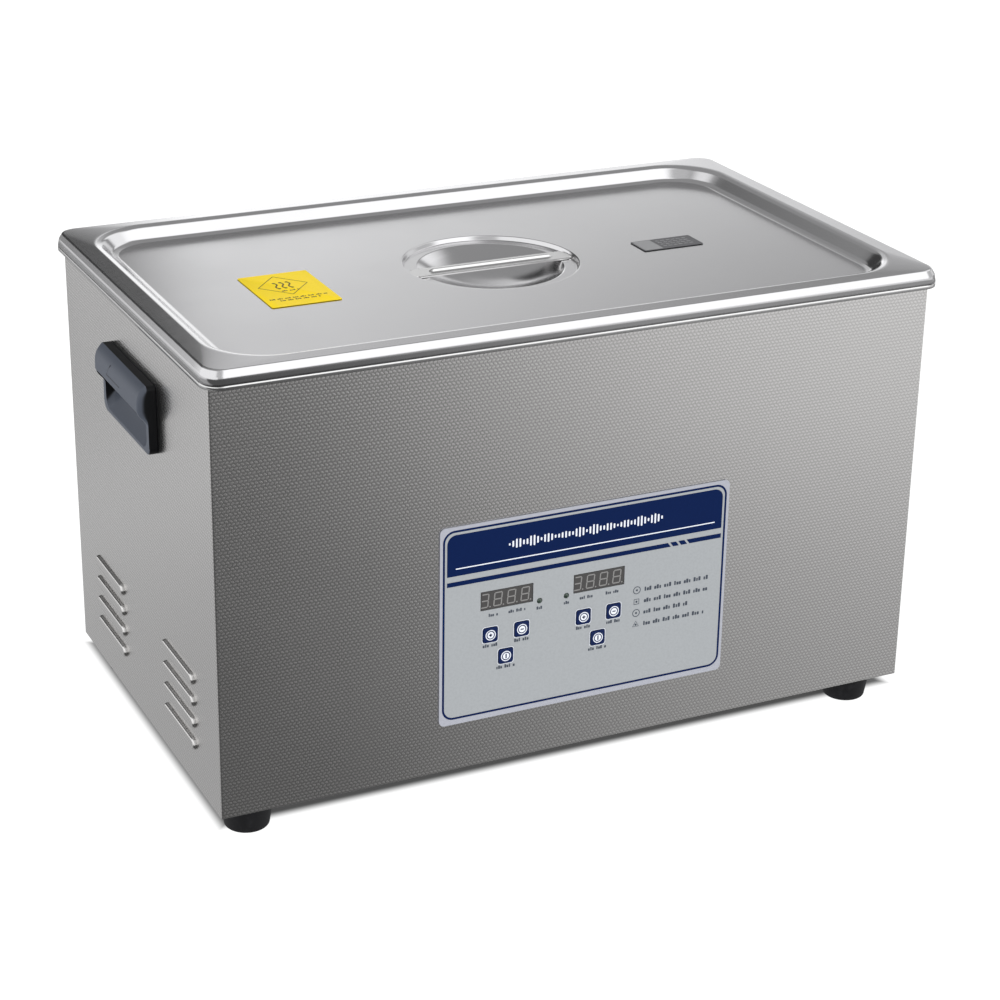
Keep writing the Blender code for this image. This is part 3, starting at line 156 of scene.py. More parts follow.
def softened(line, radii, steps=6, margin=0.25 * MM):
    """A bent line with round corners.

    At a corner with unit directions a and b back along its two sides, the arc's centre lies on
    their bisector at radius / sin(half angle), and the arc is the spherical blend of its two end
    radii. One more point a margin before and after each arc keeps the flat sides shading flat.
    """
    line = np.asarray(line, float)
    points = [line[:1]]
    blend = np.linspace(0, 1, steps + 1)[:, None]
    for before, corner, after, radius in zip(line, line[1:], line[2:], radii):
        if not radius:
            points.append(corner[None])
            continue
        a, b = before - corner, after - corner
        a, b = a / np.linalg.norm(a), b / np.linalg.norm(b)
        half = math.acos(np.clip(a @ b, -1, 1)) / 2
        reach = radius / math.tan(half)
        centre = corner + (a + b) / np.linalg.norm(a + b) * radius / math.sin(half)
        first, last = corner + a * reach - centre, corner + b * reach - centre
        sweep = math.pi - 2 * half
        arc = (np.sin((1 - blend) * sweep) * first + np.sin(blend * sweep) * last) / math.sin(sweep)
        points += [(corner + a * (reach + margin))[None], centre + arc]
        points.append((corner + b * (reach + margin))[None])
    return np.concatenate(points + [line[-1:]])


def oriented(points, quads, caps, towards):
    """Faces turned the right way round: by the sign of the closed body's volume, which is the sum
    of the triple products of its triangles, or by the area vector's direction for an open one."""
    fans = [np.stack([np.full(len(cap) - 2, cap[0]), cap[1:-1], cap[2:]], 1) for cap in caps]
    corners = points[np.concatenate([quads[:, [0, 1, 2]], quads[:, [0, 2, 3]], *fans])]
    a, b, c = corners[:, 0], corners[:, 1], corners[:, 2]
    if towards is None:
        sign = np.einsum("ij,ij->i", a, np.cross(b, c)).sum()
    else:
        sign = np.cross(b - a, c - a).sum(0) @ np.array(towards)
    faces = quads.tolist() + [cap.tolist() for cap in caps]
    return faces if sign > 0 else [face[::-1] for face in faces]


def skin(rows, ring=False, ends=(True, True), closed=True, towards=None):
    """A body over rows of points: four-sided faces between neighbours, and one face on each end.

    Rows are closed loops unless closed is false. As a ring, the last row joins the first. A body
    with an open end gives the direction that it faces towards.
    """
    rows = np.asarray(rows, float)
    index = np.arange(rows.shape[0] * rows.shape[1]).reshape(rows.shape[:2])
    if ring:
        index = np.concatenate([index, index[:1]])
    if closed:
        index = np.concatenate([index, index[:, :1]], 1)
    quads = np.stack([index[:-1, :-1], index[:-1, 1:], index[1:, 1:], index[1:, :-1]], -1)
    caps = []
    if closed and not ring:
        caps = [cap for cap, kept in zip((index[0, -2::-1], index[-1, :-1]), ends) if kept]
    points = rows.reshape(-1, 3)
    return points, oriented(points, quads.reshape(-1, 4), caps, towards)


def plate(outline, low, high):
    """A flat body over an outline between two heights."""
    return skin([at(outline, low), at(outline, high)])


def band(outer, inner, low, high):
    """A flat ring between two outlines of equal count."""
    return skin([at(outer, low), at(outer, high), at(inner, high), at(inner, low)], ring=True)


def turned(profile, count=64):
    """A profile of (radius, height) turned about Z. A last radius of 0 isn't needed: ends are closed."""
    return skin([at(circle(radius, count), height) for radius, height in profile])


def lathe_ring(profile, count=64):
    """A closed profile of (radius, height) turned about Z, with a hole through its middle."""
    return skin([at(circle(radius, count), height) for radius, height in profile], ring=True)


def tube(path, radius, count=10, ring=False):
    """A round tube: at each point of the path a circle square to the path's direction there, whose
    two axes are the direction's cross products with a fixed vector and with the first of them."""
    path = np.asarray(path, float)
    if ring:
        along = np.roll(path, -1, 0) - np.roll(path, 1, 0)
    else:
        along = np.gradient(path, axis=0)
    along = along / np.linalg.norm(along, axis=1)[:, None]
    steady = np.array([0.13, 0.27, 0.95]) if abs(along[:, 2]).max() < 0.9 else np.array([1.0, 0.2, 0.1])
    across = np.cross(along, steady)
    across = across / np.linalg.norm(across, axis=1)[:, None]
    beside = np.cross(along, across)
    turn = np.linspace(0, 2 * math.pi, count, endpoint=False)[None, :, None]
    offsets = np.cos(turn) * across[:, None] + np.sin(turn) * beside[:, None]
    return skin(path[:, None] + radius * offsets, ring=ring)


def shifted(body, x=0.0, y=0.0, z=0.0):
    """A body moved."""
    points, faces = body
    return points + (x, y, z), faces


def on_front(body, u=0.0, v=0.0):
    """From (u, v, d) about the panel's middle to the bench: d 0 is the casing's front wall."""
    points, faces = body
    x, z, out = points.T
    return np.stack([PANEL[0] + u + x, -SIDE_WALL - out, PANEL[2] + v + z], 1), faces


def on_back(body, x=0.0, z=0.0):
    """From (u, v, d) to the back wall, about a point given in bench x and z."""
    points, faces = body
    across, up, out = points.T
    return np.stack([x - across, SIDE_WALL + out, z + up], 1), faces


def on_end(body, side, v=0.0):
    """From (u, v, d) to an end wall: side is -1 for the left end and 1 for the right."""
    points, faces = body
    across, up, out = points.T
    return np.stack([CENTRE_X + side * (END_WALL + out), side * across, v + up], 1), faces


def piece(name, bodies, finish, rides, replaced=(), sharp=35):
    """One object from bodies, riding on a CAD body and standing for the CAD nodes it replaces."""
    points, faces = [], []
    for corners, loops in bodies:
        start = sum(map(len, points))
        faces += [[start + i for i in loop] for loop in loops]
        points.append(corners)
    mesh = bpy.data.meshes.new(name)
    mesh.from_pydata(np.concatenate(points).tolist(), [], faces)
    mesh.shade_smooth()
    mesh.set_sharp_from_angle(angle=math.radians(sharp))
    mesh.materials.append(finish)
    made = bpy.data.objects.new(name, mesh)
    bpy.context.scene.collection.objects.link(made)
    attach(made, rides)
    if replaced:
        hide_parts(*replaced)
    return made


def thicken(made, thickness):
    """Gives an open skin its wall, on the side away from its faces."""
    solidify = made.modifiers.new("wall", "SOLIDIFY")
    solidify.thickness = thickness
    solidify.offset = -1
    solidify.use_even_offset = True


# Shader expressions


class Value:
    """A shader socket on which Python's operators add Math nodes."""

    def __init__(self, graph, socket):
        self.graph = graph
        self.socket = socket

    def __add__(self, other):
        return self.graph.math("ADD", self, other)

    def __sub__(self, other):
        return self.graph.math("SUBTRACT", self, other)

    def __rsub__(self, other):
        return self.graph.math("SUBTRACT", other, self)

    def __mul__(self, other):
        return self.graph.math("MULTIPLY", self, other)

    def __truediv__(self, other):
        return self.graph.math("DIVIDE", self, other)

    def __pow__(self, other):
        return self.graph.math("POWER", self, other)

    def __abs__(self):
        return self.graph.math("ABSOLUTE", self)

    def __gt__(self, other):
        return self.graph.math("GREATER_THAN", self, other)

    __radd__ = __add__
    __rmul__ = __mul__


class Graph:
    """Adds nodes to a material's or the world's tree."""

    def __init__(self, owner):
        owner.use_nodes = True
        self.tree = owner.node_tree

    def node(self, kind, settings=None, inputs=None):
        """One node: its settings first, then the values of, or links to, its sockets."""
        made = self.tree.nodes.new(kind)
        for key, value in (settings or {}).items():
            setattr(made, key, value)
        for key, value in (inputs or {}).items():
            self.feed(made.inputs[key], value)
        return made

    def feed(self, socket, value):
        source = value.socket if isinstance(value, Value) else value
        if isinstance(source, bpy.types.NodeSocket):
            self.tree.links.new(source, socket)
        else:
            socket.default_value = source

    def math(self, operation, *values):
        made = self.node("ShaderNodeMath", {"operation": operation}, dict(enumerate(values)))
        return Value(self, made.outputs[0])

    def parts(self, vector):
        made = self.node("ShaderNodeSeparateXYZ", None, {0: vector})
        return [Value(self, socket) for socket in made.outputs]

    def place(self):
        """Object coordinates, which are bench metres because every piece sits at the origin."""
        return self.node("ShaderNodeTexCoord").outputs["Object"]

    def noise(self, scale, detail=2.0, roughness=0.5, stretch=None):
        where = self.place()
        if stretch:
            where = self.node("ShaderNodeMapping", None, {"Vector": where, "Scale": stretch}).outputs[0]
        settings = {"Vector": where, "Scale": scale, "Detail": detail, "Roughness": roughness}
        made = self.node("ShaderNodeTexNoise", None, settings)
        return Value(self, made.outputs[0])

    def step(self, value, low, high):
        """A smooth step of a value from 0 at low to 1 at high."""
        sockets = {"Value": value, "From Min": low, "From Max": high}
        made = self.node("ShaderNodeMapRange", {"interpolation_type": "SMOOTHSTEP"}, sockets)
        return Value(self, made.outputs[0])

    def mix(self, factor, first, second):
        """A colour between two colours."""
        sockets = {0: factor, 6: first, 7: second}
        return self.node("ShaderNodeMix", {"data_type": "RGBA"}, sockets).outputs[2]


class Finish(Graph):
    """A material: constants go straight onto the Principled shader's sockets."""

    def __init__(self, name, colour, roughness, metallic=0.0, **constants):
        self.material = bpy.data.materials.new(name)
        super().__init__(self.material)
        self.shader = self.tree.nodes["Principled BSDF"]
        self.colour = (*colour, 1)
        self.set(**{"Base Color": self.colour, "Roughness": roughness, "Metallic": metallic})
        self.set(**{key.replace("_", " "): value for key, value in constants.items()})

    def set(self, **values):
        for key, value in values.items():
            self.feed(self.shader.inputs[key], value)

    def bump(self, height, strength, distance):
        sockets = {"Height": height, "Strength": strength, "Distance": distance}
        self.set(Normal=self.node("ShaderNodeBump", None, sockets).outputs[0])

    def shade(self, factor, darker):
        """Lets the colour vary between its own value and a darker or lighter multiple of it."""
        other = (*(channel * darker for channel in self.colour[:3]), 1)
        self.set(**{"Base Color": self.mix(factor, self.colour, other)})


# Finishes


def pressed_steel(name, colour, roughness, cloud=0.05):
    """Drawn and polished sheet: soft clouds in its gloss and a very fine drawn grain."""
    finish = Finish(name, colour, roughness, 1.0)
    cloudy = finish.noise(14.0, 3.0)
    grain = finish.noise(900.0, 2.0, stretch=(0.08, 1.0, 1.0))
    finish.set(Roughness=roughness + (cloudy - 0.5) * cloud + (grain - 0.5) * 0.06)
    finish.shade(finish.step(cloudy, 0.3, 0.8) * 0.5, 0.92)
    finish.bump(grain, 0.25, 0.00002)
    return finish.material


def embossed_steel():
    """Sheet rolled with a rice-grain pattern: one small tilted ellipse in each cell of a brick grid,
    tilted the other way in every second row."""
    finish = Finish("embossed_steel", (0.56, 0.55, 0.54), 0.3, 1.0)
    pitch_u, pitch_v = 2.9 * MM, 2.3 * MM
    half_length, half_width, tilt = 0.44, 0.36, 0.35
    x, y, z = finish.parts(finish.place())
    normal = finish.node("ShaderNodeNewGeometry").outputs["Normal"]
    facing_x = abs(finish.parts(normal)[0]) > 0.7
    u = x + facing_x * (y - x)
    row = finish.math("FLOOR", z / pitch_v)
    odd = finish.math("FLOORED_MODULO", row, 2.0)
    a = finish.math("FRACT", u / pitch_u + odd * 0.5) - 0.5
    b = finish.math("FRACT", z / pitch_v) - 0.5
    across = b + a * (tilt - odd * 2 * tilt)
    reach = (a / half_length) ** 2 + (across / half_width) ** 2
    grains = 1.0 - finish.step(reach, 0.45, 1.05)
    fine = finish.noise(1500.0, 1.0)
    cloudy = finish.noise(7.0, 2.0)
    finish.set(Roughness=0.2 + (fine - 0.5) * 0.08 + (cloudy - 0.5) * 0.05 + grains * 0.03)
    # Painted highlight: each raised grain is painted lighter, for the light that it catches
    finish.shade(grains * 0.8, 1.22)
    finish.bump(grains + fine * 0.25, 0.11, 0.0002)
    return finish.material


def moulded(name, colour, roughness, grain=0.3, scale=1800.0):
    """Injection-moulded plastic with a fine spark-eroded grain."""
    finish = Finish(name, colour, roughness)
    pits = finish.noise(scale, 3.0, 0.6)
    wear = finish.noise(30.0, 3.0)
    finish.set(Roughness=roughness + (wear - 0.5) * 0.12)
    finish.shade(finish.step(pits, 0.35, 0.75) * 0.6, 0.85)
    finish.bump(pits, grain, 0.00008)
    return finish.material


def printed(name, colour, roughness=0.42, mottle=0.93, gloss=0.2):
    """Ink on film: a faint mottle of the screen print."""
    finish = Finish(name, colour, roughness, Specular_IOR_Level=gloss)
    finish.shade(finish.step(finish.noise(600.0, 2.0), 0.3, 0.8), mottle)
    finish.bump(finish.noise(2500.0, 1.0), 0.08, 0.00002)
    return finish.material


def sheen_painted_handle():
    """Slate on the faces that look away from the wall and near-black on all others: the slate is partly the
    plastic's own tone and partly a painted sheen.
    """
    finish = Finish("slate_plastic", (0.064, 0.074, 0.096), 0.46, Specular_IOR_Level=0.3)
    pits = finish.noise(1800.0, 3.0, 0.6)
    normal = finish.node("ShaderNodeNewGeometry").outputs["Normal"]
    outwards = abs(finish.parts(normal)[0])
    # Painted sheen: faces that look away from the wall keep the slate, and all others are darkened to
    # near-black
    finish.shade(1.0 - finish.step(outwards, 0.15, 0.5), 0.03)
    finish.set(Roughness=0.42 + pits * 0.1)
    finish.bump(pits, 0.3, 0.00008)
    return finish.material


def soft_rubber():
    finish = Finish("foot_rubber", (0.007, 0.007, 0.008), 0.62, Specular_IOR_Level=0.25)
    dust = finish.noise(120.0, 4.0, 0.7)
    finish.shade(finish.step(dust, 0.45, 0.8), 2.2)
    finish.set(Roughness=0.55 + dust * 0.2)
    finish.bump(finish.noise(1400.0, 3.0), 0.35, 0.0001)
    return finish.material


def smoked_glass():
    """The display's dark window: a faint dot raster under a glossy face."""
    finish = Finish("display_glass", (0.06, 0.058, 0.057), 0.3, Specular_IOR_Level=0.3)
    x, _, z = finish.parts(finish.place())
    raster = finish.math("SINE", x * 9000.0) * finish.math("SINE", z * 9000.0)
    finish.shade(finish.step(raster, -0.2, 0.9) * 0.6, 1.5)
    finish.set(Roughness=0.2 + finish.noise(200.0) * 0.1)
    return finish.material


def circuit_board():
    finish = Finish("board_green", (0.02, 0.13, 0.055), 0.4)
    x, y, z = finish.parts(finish.place())
    traces = finish.math("SINE", (x + z) * 1200.0) * finish.math("SINE", (y - z) * 900.0)
    finish.shade(traces > 0.15, 1.7)
    return finish.material


def wound_copper():
    finish = Finish("copper_winding", (0.55, 0.2, 0.07), 0.38, 0.9)
    x, y, _ = finish.parts(finish.place())
    turns = finish.math("SINE", finish.math("ARCTAN2", y, x + 0.089) * 90.0)
    finish.bump(turns, 0.6, 0.0005)
    finish.shade(finish.step(turns, -0.5, 0.6), 0.6)
    return finish.material


def clear_lens():
    finish = Finish("led_lens", (0.02, 0.035, 0.025), 0.15, Coat_Weight=0.5)
    finish.shade(finish.step(finish.noise(900.0), 0.4, 0.7), 1.8)
    return finish.material


def make_finishes():
    """Every finish by name. A CAD node's finish has the name of the node's slot."""
    made = [
        pressed_steel("lid_steel", (0.60, 0.595, 0.60), 0.16),
        pressed_steel("bright_steel", (0.62, 0.615, 0.61), 0.2),
        pressed_steel("grip_steel", (0.66, 0.655, 0.65), 0.24),
        pressed_steel("cover_steel", (0.5, 0.495, 0.49), 0.38),
        pressed_steel("screw_steel", (0.55, 0.55, 0.55), 0.3),
        pressed_steel("plated_brass", (0.66, 0.64, 0.60), 0.26),
        pressed_steel("aluminium", (0.68, 0.68, 0.69), 0.42),
        sheen_painted_handle(),
        moulded("black_plastic", (0.022, 0.022, 0.024), 0.42),
        moulded("red_plastic", (0.5, 0.02, 0.015), 0.35, 0.15),
        moulded("blue_plastic", (0.02, 0.07, 0.3), 0.35, 0.15),
        moulded("heater_silicone", (0.62, 0.16, 0.04), 0.6),
        printed("key_blue", (0.005, 0.015, 0.07), gloss=0.1),
        printed("panel_film", (0.365, 0.382, 0.395)),
        printed("film_border", (0.40, 0.41, 0.46)),
        printed("navy_ink", (0.003, 0.013, 0.068), gloss=0.05),
        printed("white_ink", (0.8, 0.83, 0.9), mottle=0.96),
        printed("caption_ink", (0.055, 0.065, 0.085)),
        printed("segment_grey", (0.24, 0.235, 0.23)),
        printed("label_yellow", (0.95, 0.70, 0.016), 0.5, 0.96),
        printed("label_ink", (0.10, 0.075, 0.02), 0.5),
        printed("label_grey", (0.085, 0.085, 0.09), 0.4),
        printed("label_pale", (0.27, 0.27, 0.275), 0.4),
        soft_rubber(),
        smoked_glass(),
        circuit_board(),
        wound_copper(),
        clear_lens(),
    ]
    # A name that a material of the frame has already gets a number after a dot
    finishes = {material.name.split(".")[0]: material for material in made}
    finishes["casing_steel"] = embossed_steel()
    return finishes


# Lid


def along(keys, places, wanted):
    """Outlines at wanted insets, each point worked out in proportion between the key outlines."""
    keys = np.asarray(keys)
    places = np.asarray(places)
    wanted = np.asarray(wanted)
    below = np.clip(np.searchsorted(places, wanted, "right") - 1, 0, len(places) - 2)
    share = (wanted - places[below]) / (places[below + 1] - places[below])
    return keys[below] + share[:, None, None] * (keys[below + 1] - keys[below])


def lid_rows():
    """Rows of the lid's upper face, from the skirt's edge over the flange and down the recess, then
    in to the round dish, down its step, over the ledge and down the spherical bowl."""
    rim = rounded(RIM_LENGTH, RIM_WIDTH, RIM_CORNER)
    flange = rounded(RIM_LENGTH - 2 * FLARE, RIM_WIDTH - 2 * FLARE, RIM_CORNER - FLARE / 2)
    base = rounded(*RECESS_BASE)
    floor_run = 12 * MM
    length, width, corner = RECESS_BASE
    inner = rounded(length - 2 * floor_run, width - 2 * floor_run, corner - 10 * MM)
    keys = [rim, flange, rounded(*RECESS_TOP), base, inner]
    insets = np.cumsum([0, FLARE, FLANGE_RUN, RECESS_RUN, floor_run])
    corners = [
        (insets[0], LID_TOP - LID_HEIGHT),
        (insets[0] + SKIRT_LEAN, LID_TOP - FLARE_DROP),
        (insets[1], LID_TOP - FLANGE_FALL),
        (insets[2], LID_TOP),
        (insets[2] + 0.26 * RECESS_RUN, LID_TOP - 0.12 * RECESS_DEPTH),
        (insets[2] + 0.74 * RECESS_RUN, LID_TOP - 0.88 * RECESS_DEPTH),
        (insets[3], RECESS_FLOOR),
        (insets[4], RECESS_FLOOR),
    ]
    profile = softened(corners, (1.2 * MM, 1.3 * MM, 6 * MM, 5 * MM, 5 * MM, 6 * MM), 5)
    rows = [at(outline, z) for outline, z in zip(along(keys, insets, profile[:, 0]), profile[:, 1])]

    sphere = (BOWL_RADIUS**2 + BOWL_DEPTH**2) / (2 * BOWL_DEPTH)
    opening = math.asin(BOWL_RADIUS / sphere)
    centre = LEDGE - BOWL_DEPTH + sphere
    slope = np.linspace(opening * 0.97, opening * 0.02, 30)
    bowl = np.stack([sphere * np.sin(slope), centre - sphere * np.cos(slope)], 1)
    start = [
        (DISH_RADIUS + 6 * MM, RECESS_FLOOR),
        (DISH_RADIUS, RECESS_FLOOR),
        (DISH_RADIUS - DISH_STEP_RUN, LEDGE),
        (BOWL_RADIUS, LEDGE),
        tuple(bowl[3]),
    ]
    dish = np.concatenate([softened(start, (0.9 * MM, 0.8 * MM, 2.2 * MM), 6)[:-1], bowl[3:]])
    rows += [at(facing(base, (0, 0), radius), z) for radius, z in dish]
    return np.array(rows)


def make_lid(finishes):
    body = shifted(skin(lid_rows(), ends=(False, True), towards=UP), CENTRE_X)
    lid = piece("lid_shell", [body], finishes["lid_steel"], "lid", ("lid_pan",))
    thicken(lid, SHEET)


def make_grip(finishes):
    """A strip across the dish with a rib along it: each cross-section's top is the strip's thickness
    plus a cosine hump, which fades at the rib's ends. The strip narrows at its two welded ends."""
    low = float(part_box("lid_grip")[0][2])
    half, thickness = 60 * MM, 1.2 * MM
    strip_width, tab_width, tab_length = 17 * MM, 12.5 * MM, 2.75 * MM
    rounding, narrower = 0.35 * MM, 1.2 * MM
    rib_half, rib_width, rib_height, rib_fade = 46 * MM, 5 * MM, 1.8 * MM, 2.5 * MM
    bevel, bevelled = 0.3 * MM, 0.05
    ends = np.array([0, 0.35, 1.2, 2.6, 2.9, 4, 6, 10, 11.5, 12.2, 12.9, 13.6, 14.3, 15, 15.8, 17]) * MM
    stations = np.concatenate([ends - half, np.linspace(-40, 40, 17) * MM, half - ends[::-1]])
    reach = np.abs(stations)
    width = np.where(reach > half - tab_length, tab_width, strip_width)
    width = width - np.clip((reach - half + rounding) / rounding, 0, 1) * narrower
    fade = np.clip((rib_half - reach) / rib_fade, 0, 1)
    fade = np.sqrt(1 - (1 - fade) ** 2)
    share = np.linspace(-1, 1, 41)
    across = share[None] * width[:, None] / 2
    hump = np.where(np.abs(across) < rib_width / 2, np.cos(math.pi * across / rib_width) ** 2, 0)
    edge = bevel * np.clip((np.abs(share) - 1 + bevelled) / bevelled, 0, 1) ** 2
    top = low + thickness + rib_height * fade[:, None] * hump - edge[None]
    along_x = np.broadcast_to(stations[:, None], across.shape)
    upper = np.stack([along_x, across, top], -1)
    lower = np.stack([along_x, across, np.full_like(across, low)], -1)[:, ::-1]
    strip = shifted(skin(np.concatenate([upper, lower], 1)), CENTRE_X)
    piece("grip_strip", [strip], finishes["grip_steel"], "lid", ("lid_grip",), 50)


# Tank


def make_tank(finishes):
    """The tank's upper face: rim, rounded mouth, walls and a coved floor, in to the drain hole."""
    drain_low, drain_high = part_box("drain_strainer")
    drain = ((drain_low[0] + drain_high[0]) / 2 - CENTRE_X, 0)
    drain_radii = (17 * MM, 8.4 * MM)
    length, width, corner = TANK_INSIDE
    cove = TANK_FLOOR_CORNER
    mouth = rounded(length, width, corner)
    floor = rounded(length - 2 * cove, width - 2 * cove, corner - cove)
    keys = [rounded(RIM_LENGTH, RIM_WIDTH, RIM_CORNER), mouth, floor]
    insets = np.cumsum([0, 15 * MM, cove])
    bottom = RIM_TOP - TANK_DEPTH
    corners = [
        (0, RIM_TOP - RIM_DROP),
        (0, RIM_TOP),
        (insets[1], RIM_TOP),
        (insets[1], bottom),
        (insets[2] + 0.3 * MM, bottom),
    ]
    profile = softened(corners, (1.2 * MM, 2.5 * MM, cove), 10)
    profile[:, 0] = np.minimum(profile[:, 0], insets[2])
    rows = [at(outline, z) for outline, z in zip(along(keys, insets, profile[:, 0]), profile[:, 1])]
    rows += [at(facing(floor, drain, radius), bottom) for radius in drain_radii]
    body = shifted(skin(rows, ends=(False, False), towards=UP), CENTRE_X)
    tank = piece("tank_shell", [body], finishes["bright_steel"], "housing", ("tank",))
    thicken(tank, SHEET)


# Labels on the lid


def greeked(length, height, seed):
    """Blocks that stand in for a line of small print: words of 3 to 7 blocks, of two heights and
    two widths, with a gap between words."""
    pitch = height * 0.62
    letters = 3 + (seed * 5) % 5
    blocks = []
    for index in range(max(1, int(length / pitch))):
        if index % (letters + 1) == letters:
            continue
        tall = height * (1.0 if (index * 7 + seed * 3) % 5 < 2 else 0.72)
        wide = pitch * (0.84 if (index + seed) % 3 else 0.6)
        u = -length / 2 + pitch * (index + 0.5)
        outline = rounded(wide, tall, min(wide, tall) * 0.2, 1, 2, 1)
        blocks.append(outline + (u, (tall - height) / 2))
    return blocks


def stroke(start, end, width):
    """A straight bar's outline between two points."""
    start, end = np.array(start, float), np.array(end, float)
    way = (end - start) / np.linalg.norm(end - start)
    side = np.array([-way[1], way[0]]) * width / 2
    return np.array([start - side, end - side, end + side, start + side])


def make_sheet(name, label, finish):
    """A label's sheet with eased edges. Gives back its middle, its size and its face's height."""
    low, high = (np.array(corner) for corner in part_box(label))
    middle, size = (low + high)[:2] / 2, (high - low)[:2]
    face = float(high[2])
    ease, inside = 0.08 * MM, 0.997
    sheet = rounded(*(size + 0.02 * MM), 1.2 * MM, 4, 6, 4)
    body = skin([at(sheet, float(low[2])), at(sheet, face - ease), at(sheet * inside, face)])
    piece(name, [shifted(body, *middle)], finish, "lid", (label,))
    return middle, size, face


def make_warning_label(finishes):
    """A diamond round three upright sine waves with round ends, over three lines of small print."""
    middle, _, face = make_sheet("warning_sheet", "warning_label", finishes["label_yellow"])
    heart = np.array([-1.5, 8]) * MM
    diamond = np.array([(0, 20), (17.5, 0), (0, -20), (-17.5, 0)]) * MM + heart
    diamond_line, wave_line = 0.55 * MM, 1.1 * MM
    wave_swing, wave_half = 1.3 * MM, 6 * MM
    marks = [stroke(a, b, diamond_line) for a, b in zip(diamond, np.roll(diamond, -1, 0))]
    rise = np.linspace(-1, 1, 9)
    for column in (-4.6 * MM, 0, 4.6 * MM):
        wave = np.stack([column + wave_swing * np.sin(rise * math.pi), wave_half * rise], 1) + heart
        marks += [stroke(a, b, wave_line) for a, b in zip(wave, wave[1:])]
        marks += [circle(wave_line, 12, end) for end in (wave[0], wave[-1])]
    for y, length in ((-3.5, 13), (-18.5, 42), (-22.5, 30)):
        marks += [block + (0, y * MM) for block in greeked(length * MM, 2.2 * MM, length)]
    ink = [shifted(plate(mark, face - PRINT, face + PRINT), *middle) for mark in marks]
    piece("warning_print", ink, finishes["label_ink"], "lid")


def make_rating_label(finishes):
    """A pale field at one end and four lines of small print beside it."""
    middle, (length, width), face = make_sheet(
        "rating_sheet", "rating_label", finishes["label_grey"]
    )
    marks = [rounded(length * 0.3, width - 1.6 * MM, 0.6 * MM, 2, 4, 2) + (-length * 0.33, 0)]
    for line, v in enumerate((6.6, 2.6, -1.4, -5.4)):
        marks += [block + (6.5 * MM, v * MM) for block in greeked(25 * MM, 1.7 * MM, line + 1)]
    ink = [shifted(plate(mark, face - PRINT, face + PRINT), *middle) for mark in marks]
    piece("rating_print", ink, finishes["label_pale"], "lid")


# Louvres


def make_louvres(finishes):
    """Pressed hoods over the casing's louvres, with a slit along the lower edge."""
    for side, name in ((-1, "left"), (1, "right")):
        bodies = []
        for column in (-LOUVRE_COLUMN, LOUVRE_COLUMN):
            for row in LOUVRE_ROWS:
                bodies.append(on_end(shifted(louvre_skin(), column, row), side))
        finish = finishes["casing_steel"]
        hoods = piece(f"louvres_{name}", bodies, finish, "housing", sharp=60)
        thicken(hoods, 0.35 * MM)


def louvre_skin():
    """One hood in (u, v, d) about the louvre's middle.

    Rows are pill-shaped outlines. Their inset grows and their height follows a quarter ellipse from
    the foot to the crown. The foot itself is lifted off the wall along the lower edge, by a smooth
    step of how low a point lies.
    """
    spread, sunk, slit = 0.3 * MM, 0.3 * MM, 0.9 * MM
    crown = LOUVRE_REACH + 0.15 * MM
    shoulder, flat_edge = 1.5 * MM, 2.5 * MM
    length, height = LOUVRE_LENGTH + 2 * spread, LOUVRE_HEIGHT + 2 * spread
    end = height / 2 - 0.05 * MM

    def pill(inset, radius):
        return rounded(length - 2 * inset, height - 2 * inset, radius, 16, 10, 2)

    low = np.clip((-pill(0, end)[:, 1] / height - 0.3) / 0.18, 0, 1)
    foot = slit * low**2 * (3 - 2 * low) - sunk
    rows = []
    for angle in np.linspace(0, math.pi / 2, 9):
        inset = shoulder * (1 - math.cos(angle))
        rows.append(at(pill(inset, end - inset), foot + (crown - foot) * math.sin(angle)))
    rows.append(at(pill(flat_edge, end - flat_edge - 0.05 * MM), crown))
    return skin(rows, ends=(False, True), towards=UP)


# Handles


def corner_cut(reach, radius):
    """How far a handle's round corner has come in, at a distance from the handle's middle."""
    past = min(radius, max(0.0, reach - HANDLE_HALF_LENGTH + radius))
    return radius - math.sqrt(radius**2 - past**2)


def pocket_lines(plate_top, lip):
    """The pocket as (d, v): down a ramp that sags by a half sine, and round the back to the lip."""
    share = np.linspace(0, 1, 15)[:, None]
    sag = np.sin(share * math.pi) * 1.2 * MM
    start, end = np.array([(PLATE_REACH, plate_top)]), np.array([(-6 * MM, CHEEK_FOOT)])
    ramp = start + share * (end - start) - sag * (1, 0)
    corners = [
        ramp[-1],
        (-POCKET_DEPTH, 0.2 * MM),
        (-POCKET_DEPTH, 11 * MM),
        (-4 * MM, POCKET_TOP),
        (7 * MM, POCKET_TOP),
        (9.9 * MM, 8 * MM),
        lip,
    ]
    return ramp, softened(corners, (0, 3 * MM, 2 * MM, 2 * MM, 0), 2, 0.1 * MM)[1:]


def cheek_lines(plate_top, lip):
    """The solid end beside the pocket as (d, v): up the plate, then out to the lip by a smooth step."""
    share = np.linspace(0, 1, 15)[:, None]
    ramp = np.array([(PLATE_REACH, plate_top)]) + share * (0, CHEEK_FOOT - plate_top)
    climb = np.linspace(0, 1, 18)[1:, None]
    eased = climb**2 * (3 - 2 * climb)
    out = PLATE_REACH + (lip[0] - PLATE_REACH) * eased
    return ramp, np.concatenate([out, CHEEK_FOOT + (lip[1] - CHEEK_FOOT) * climb], 1)


def resampled(line, count):
    """A line with another number of points, at equal steps of its own point numbers."""
    wanted = np.linspace(0, len(line) - 1, count)
    return np.stack([np.interp(wanted, np.arange(len(line)), column) for column in line.T], 1)


def handle_stations():
    """Places along a handle: close together at its round corners and at the pocket's ends."""
    swing = np.sin(np.linspace(0, math.pi / 2, 9))
    corner = HANDLE_HALF_LENGTH - LOWER_CORNER * (1 - swing)
    scoop = POCKET_HALF - SCOOP_CORNER * (1 - swing)
    inner = np.array([0, 9, 18, 27, 32, 44.3, 45.5, 45.8]) * MM
    half = np.unique(np.round(np.concatenate([corner, scoop, inner]), 6))
    return np.concatenate([-half[:0:-1], half])


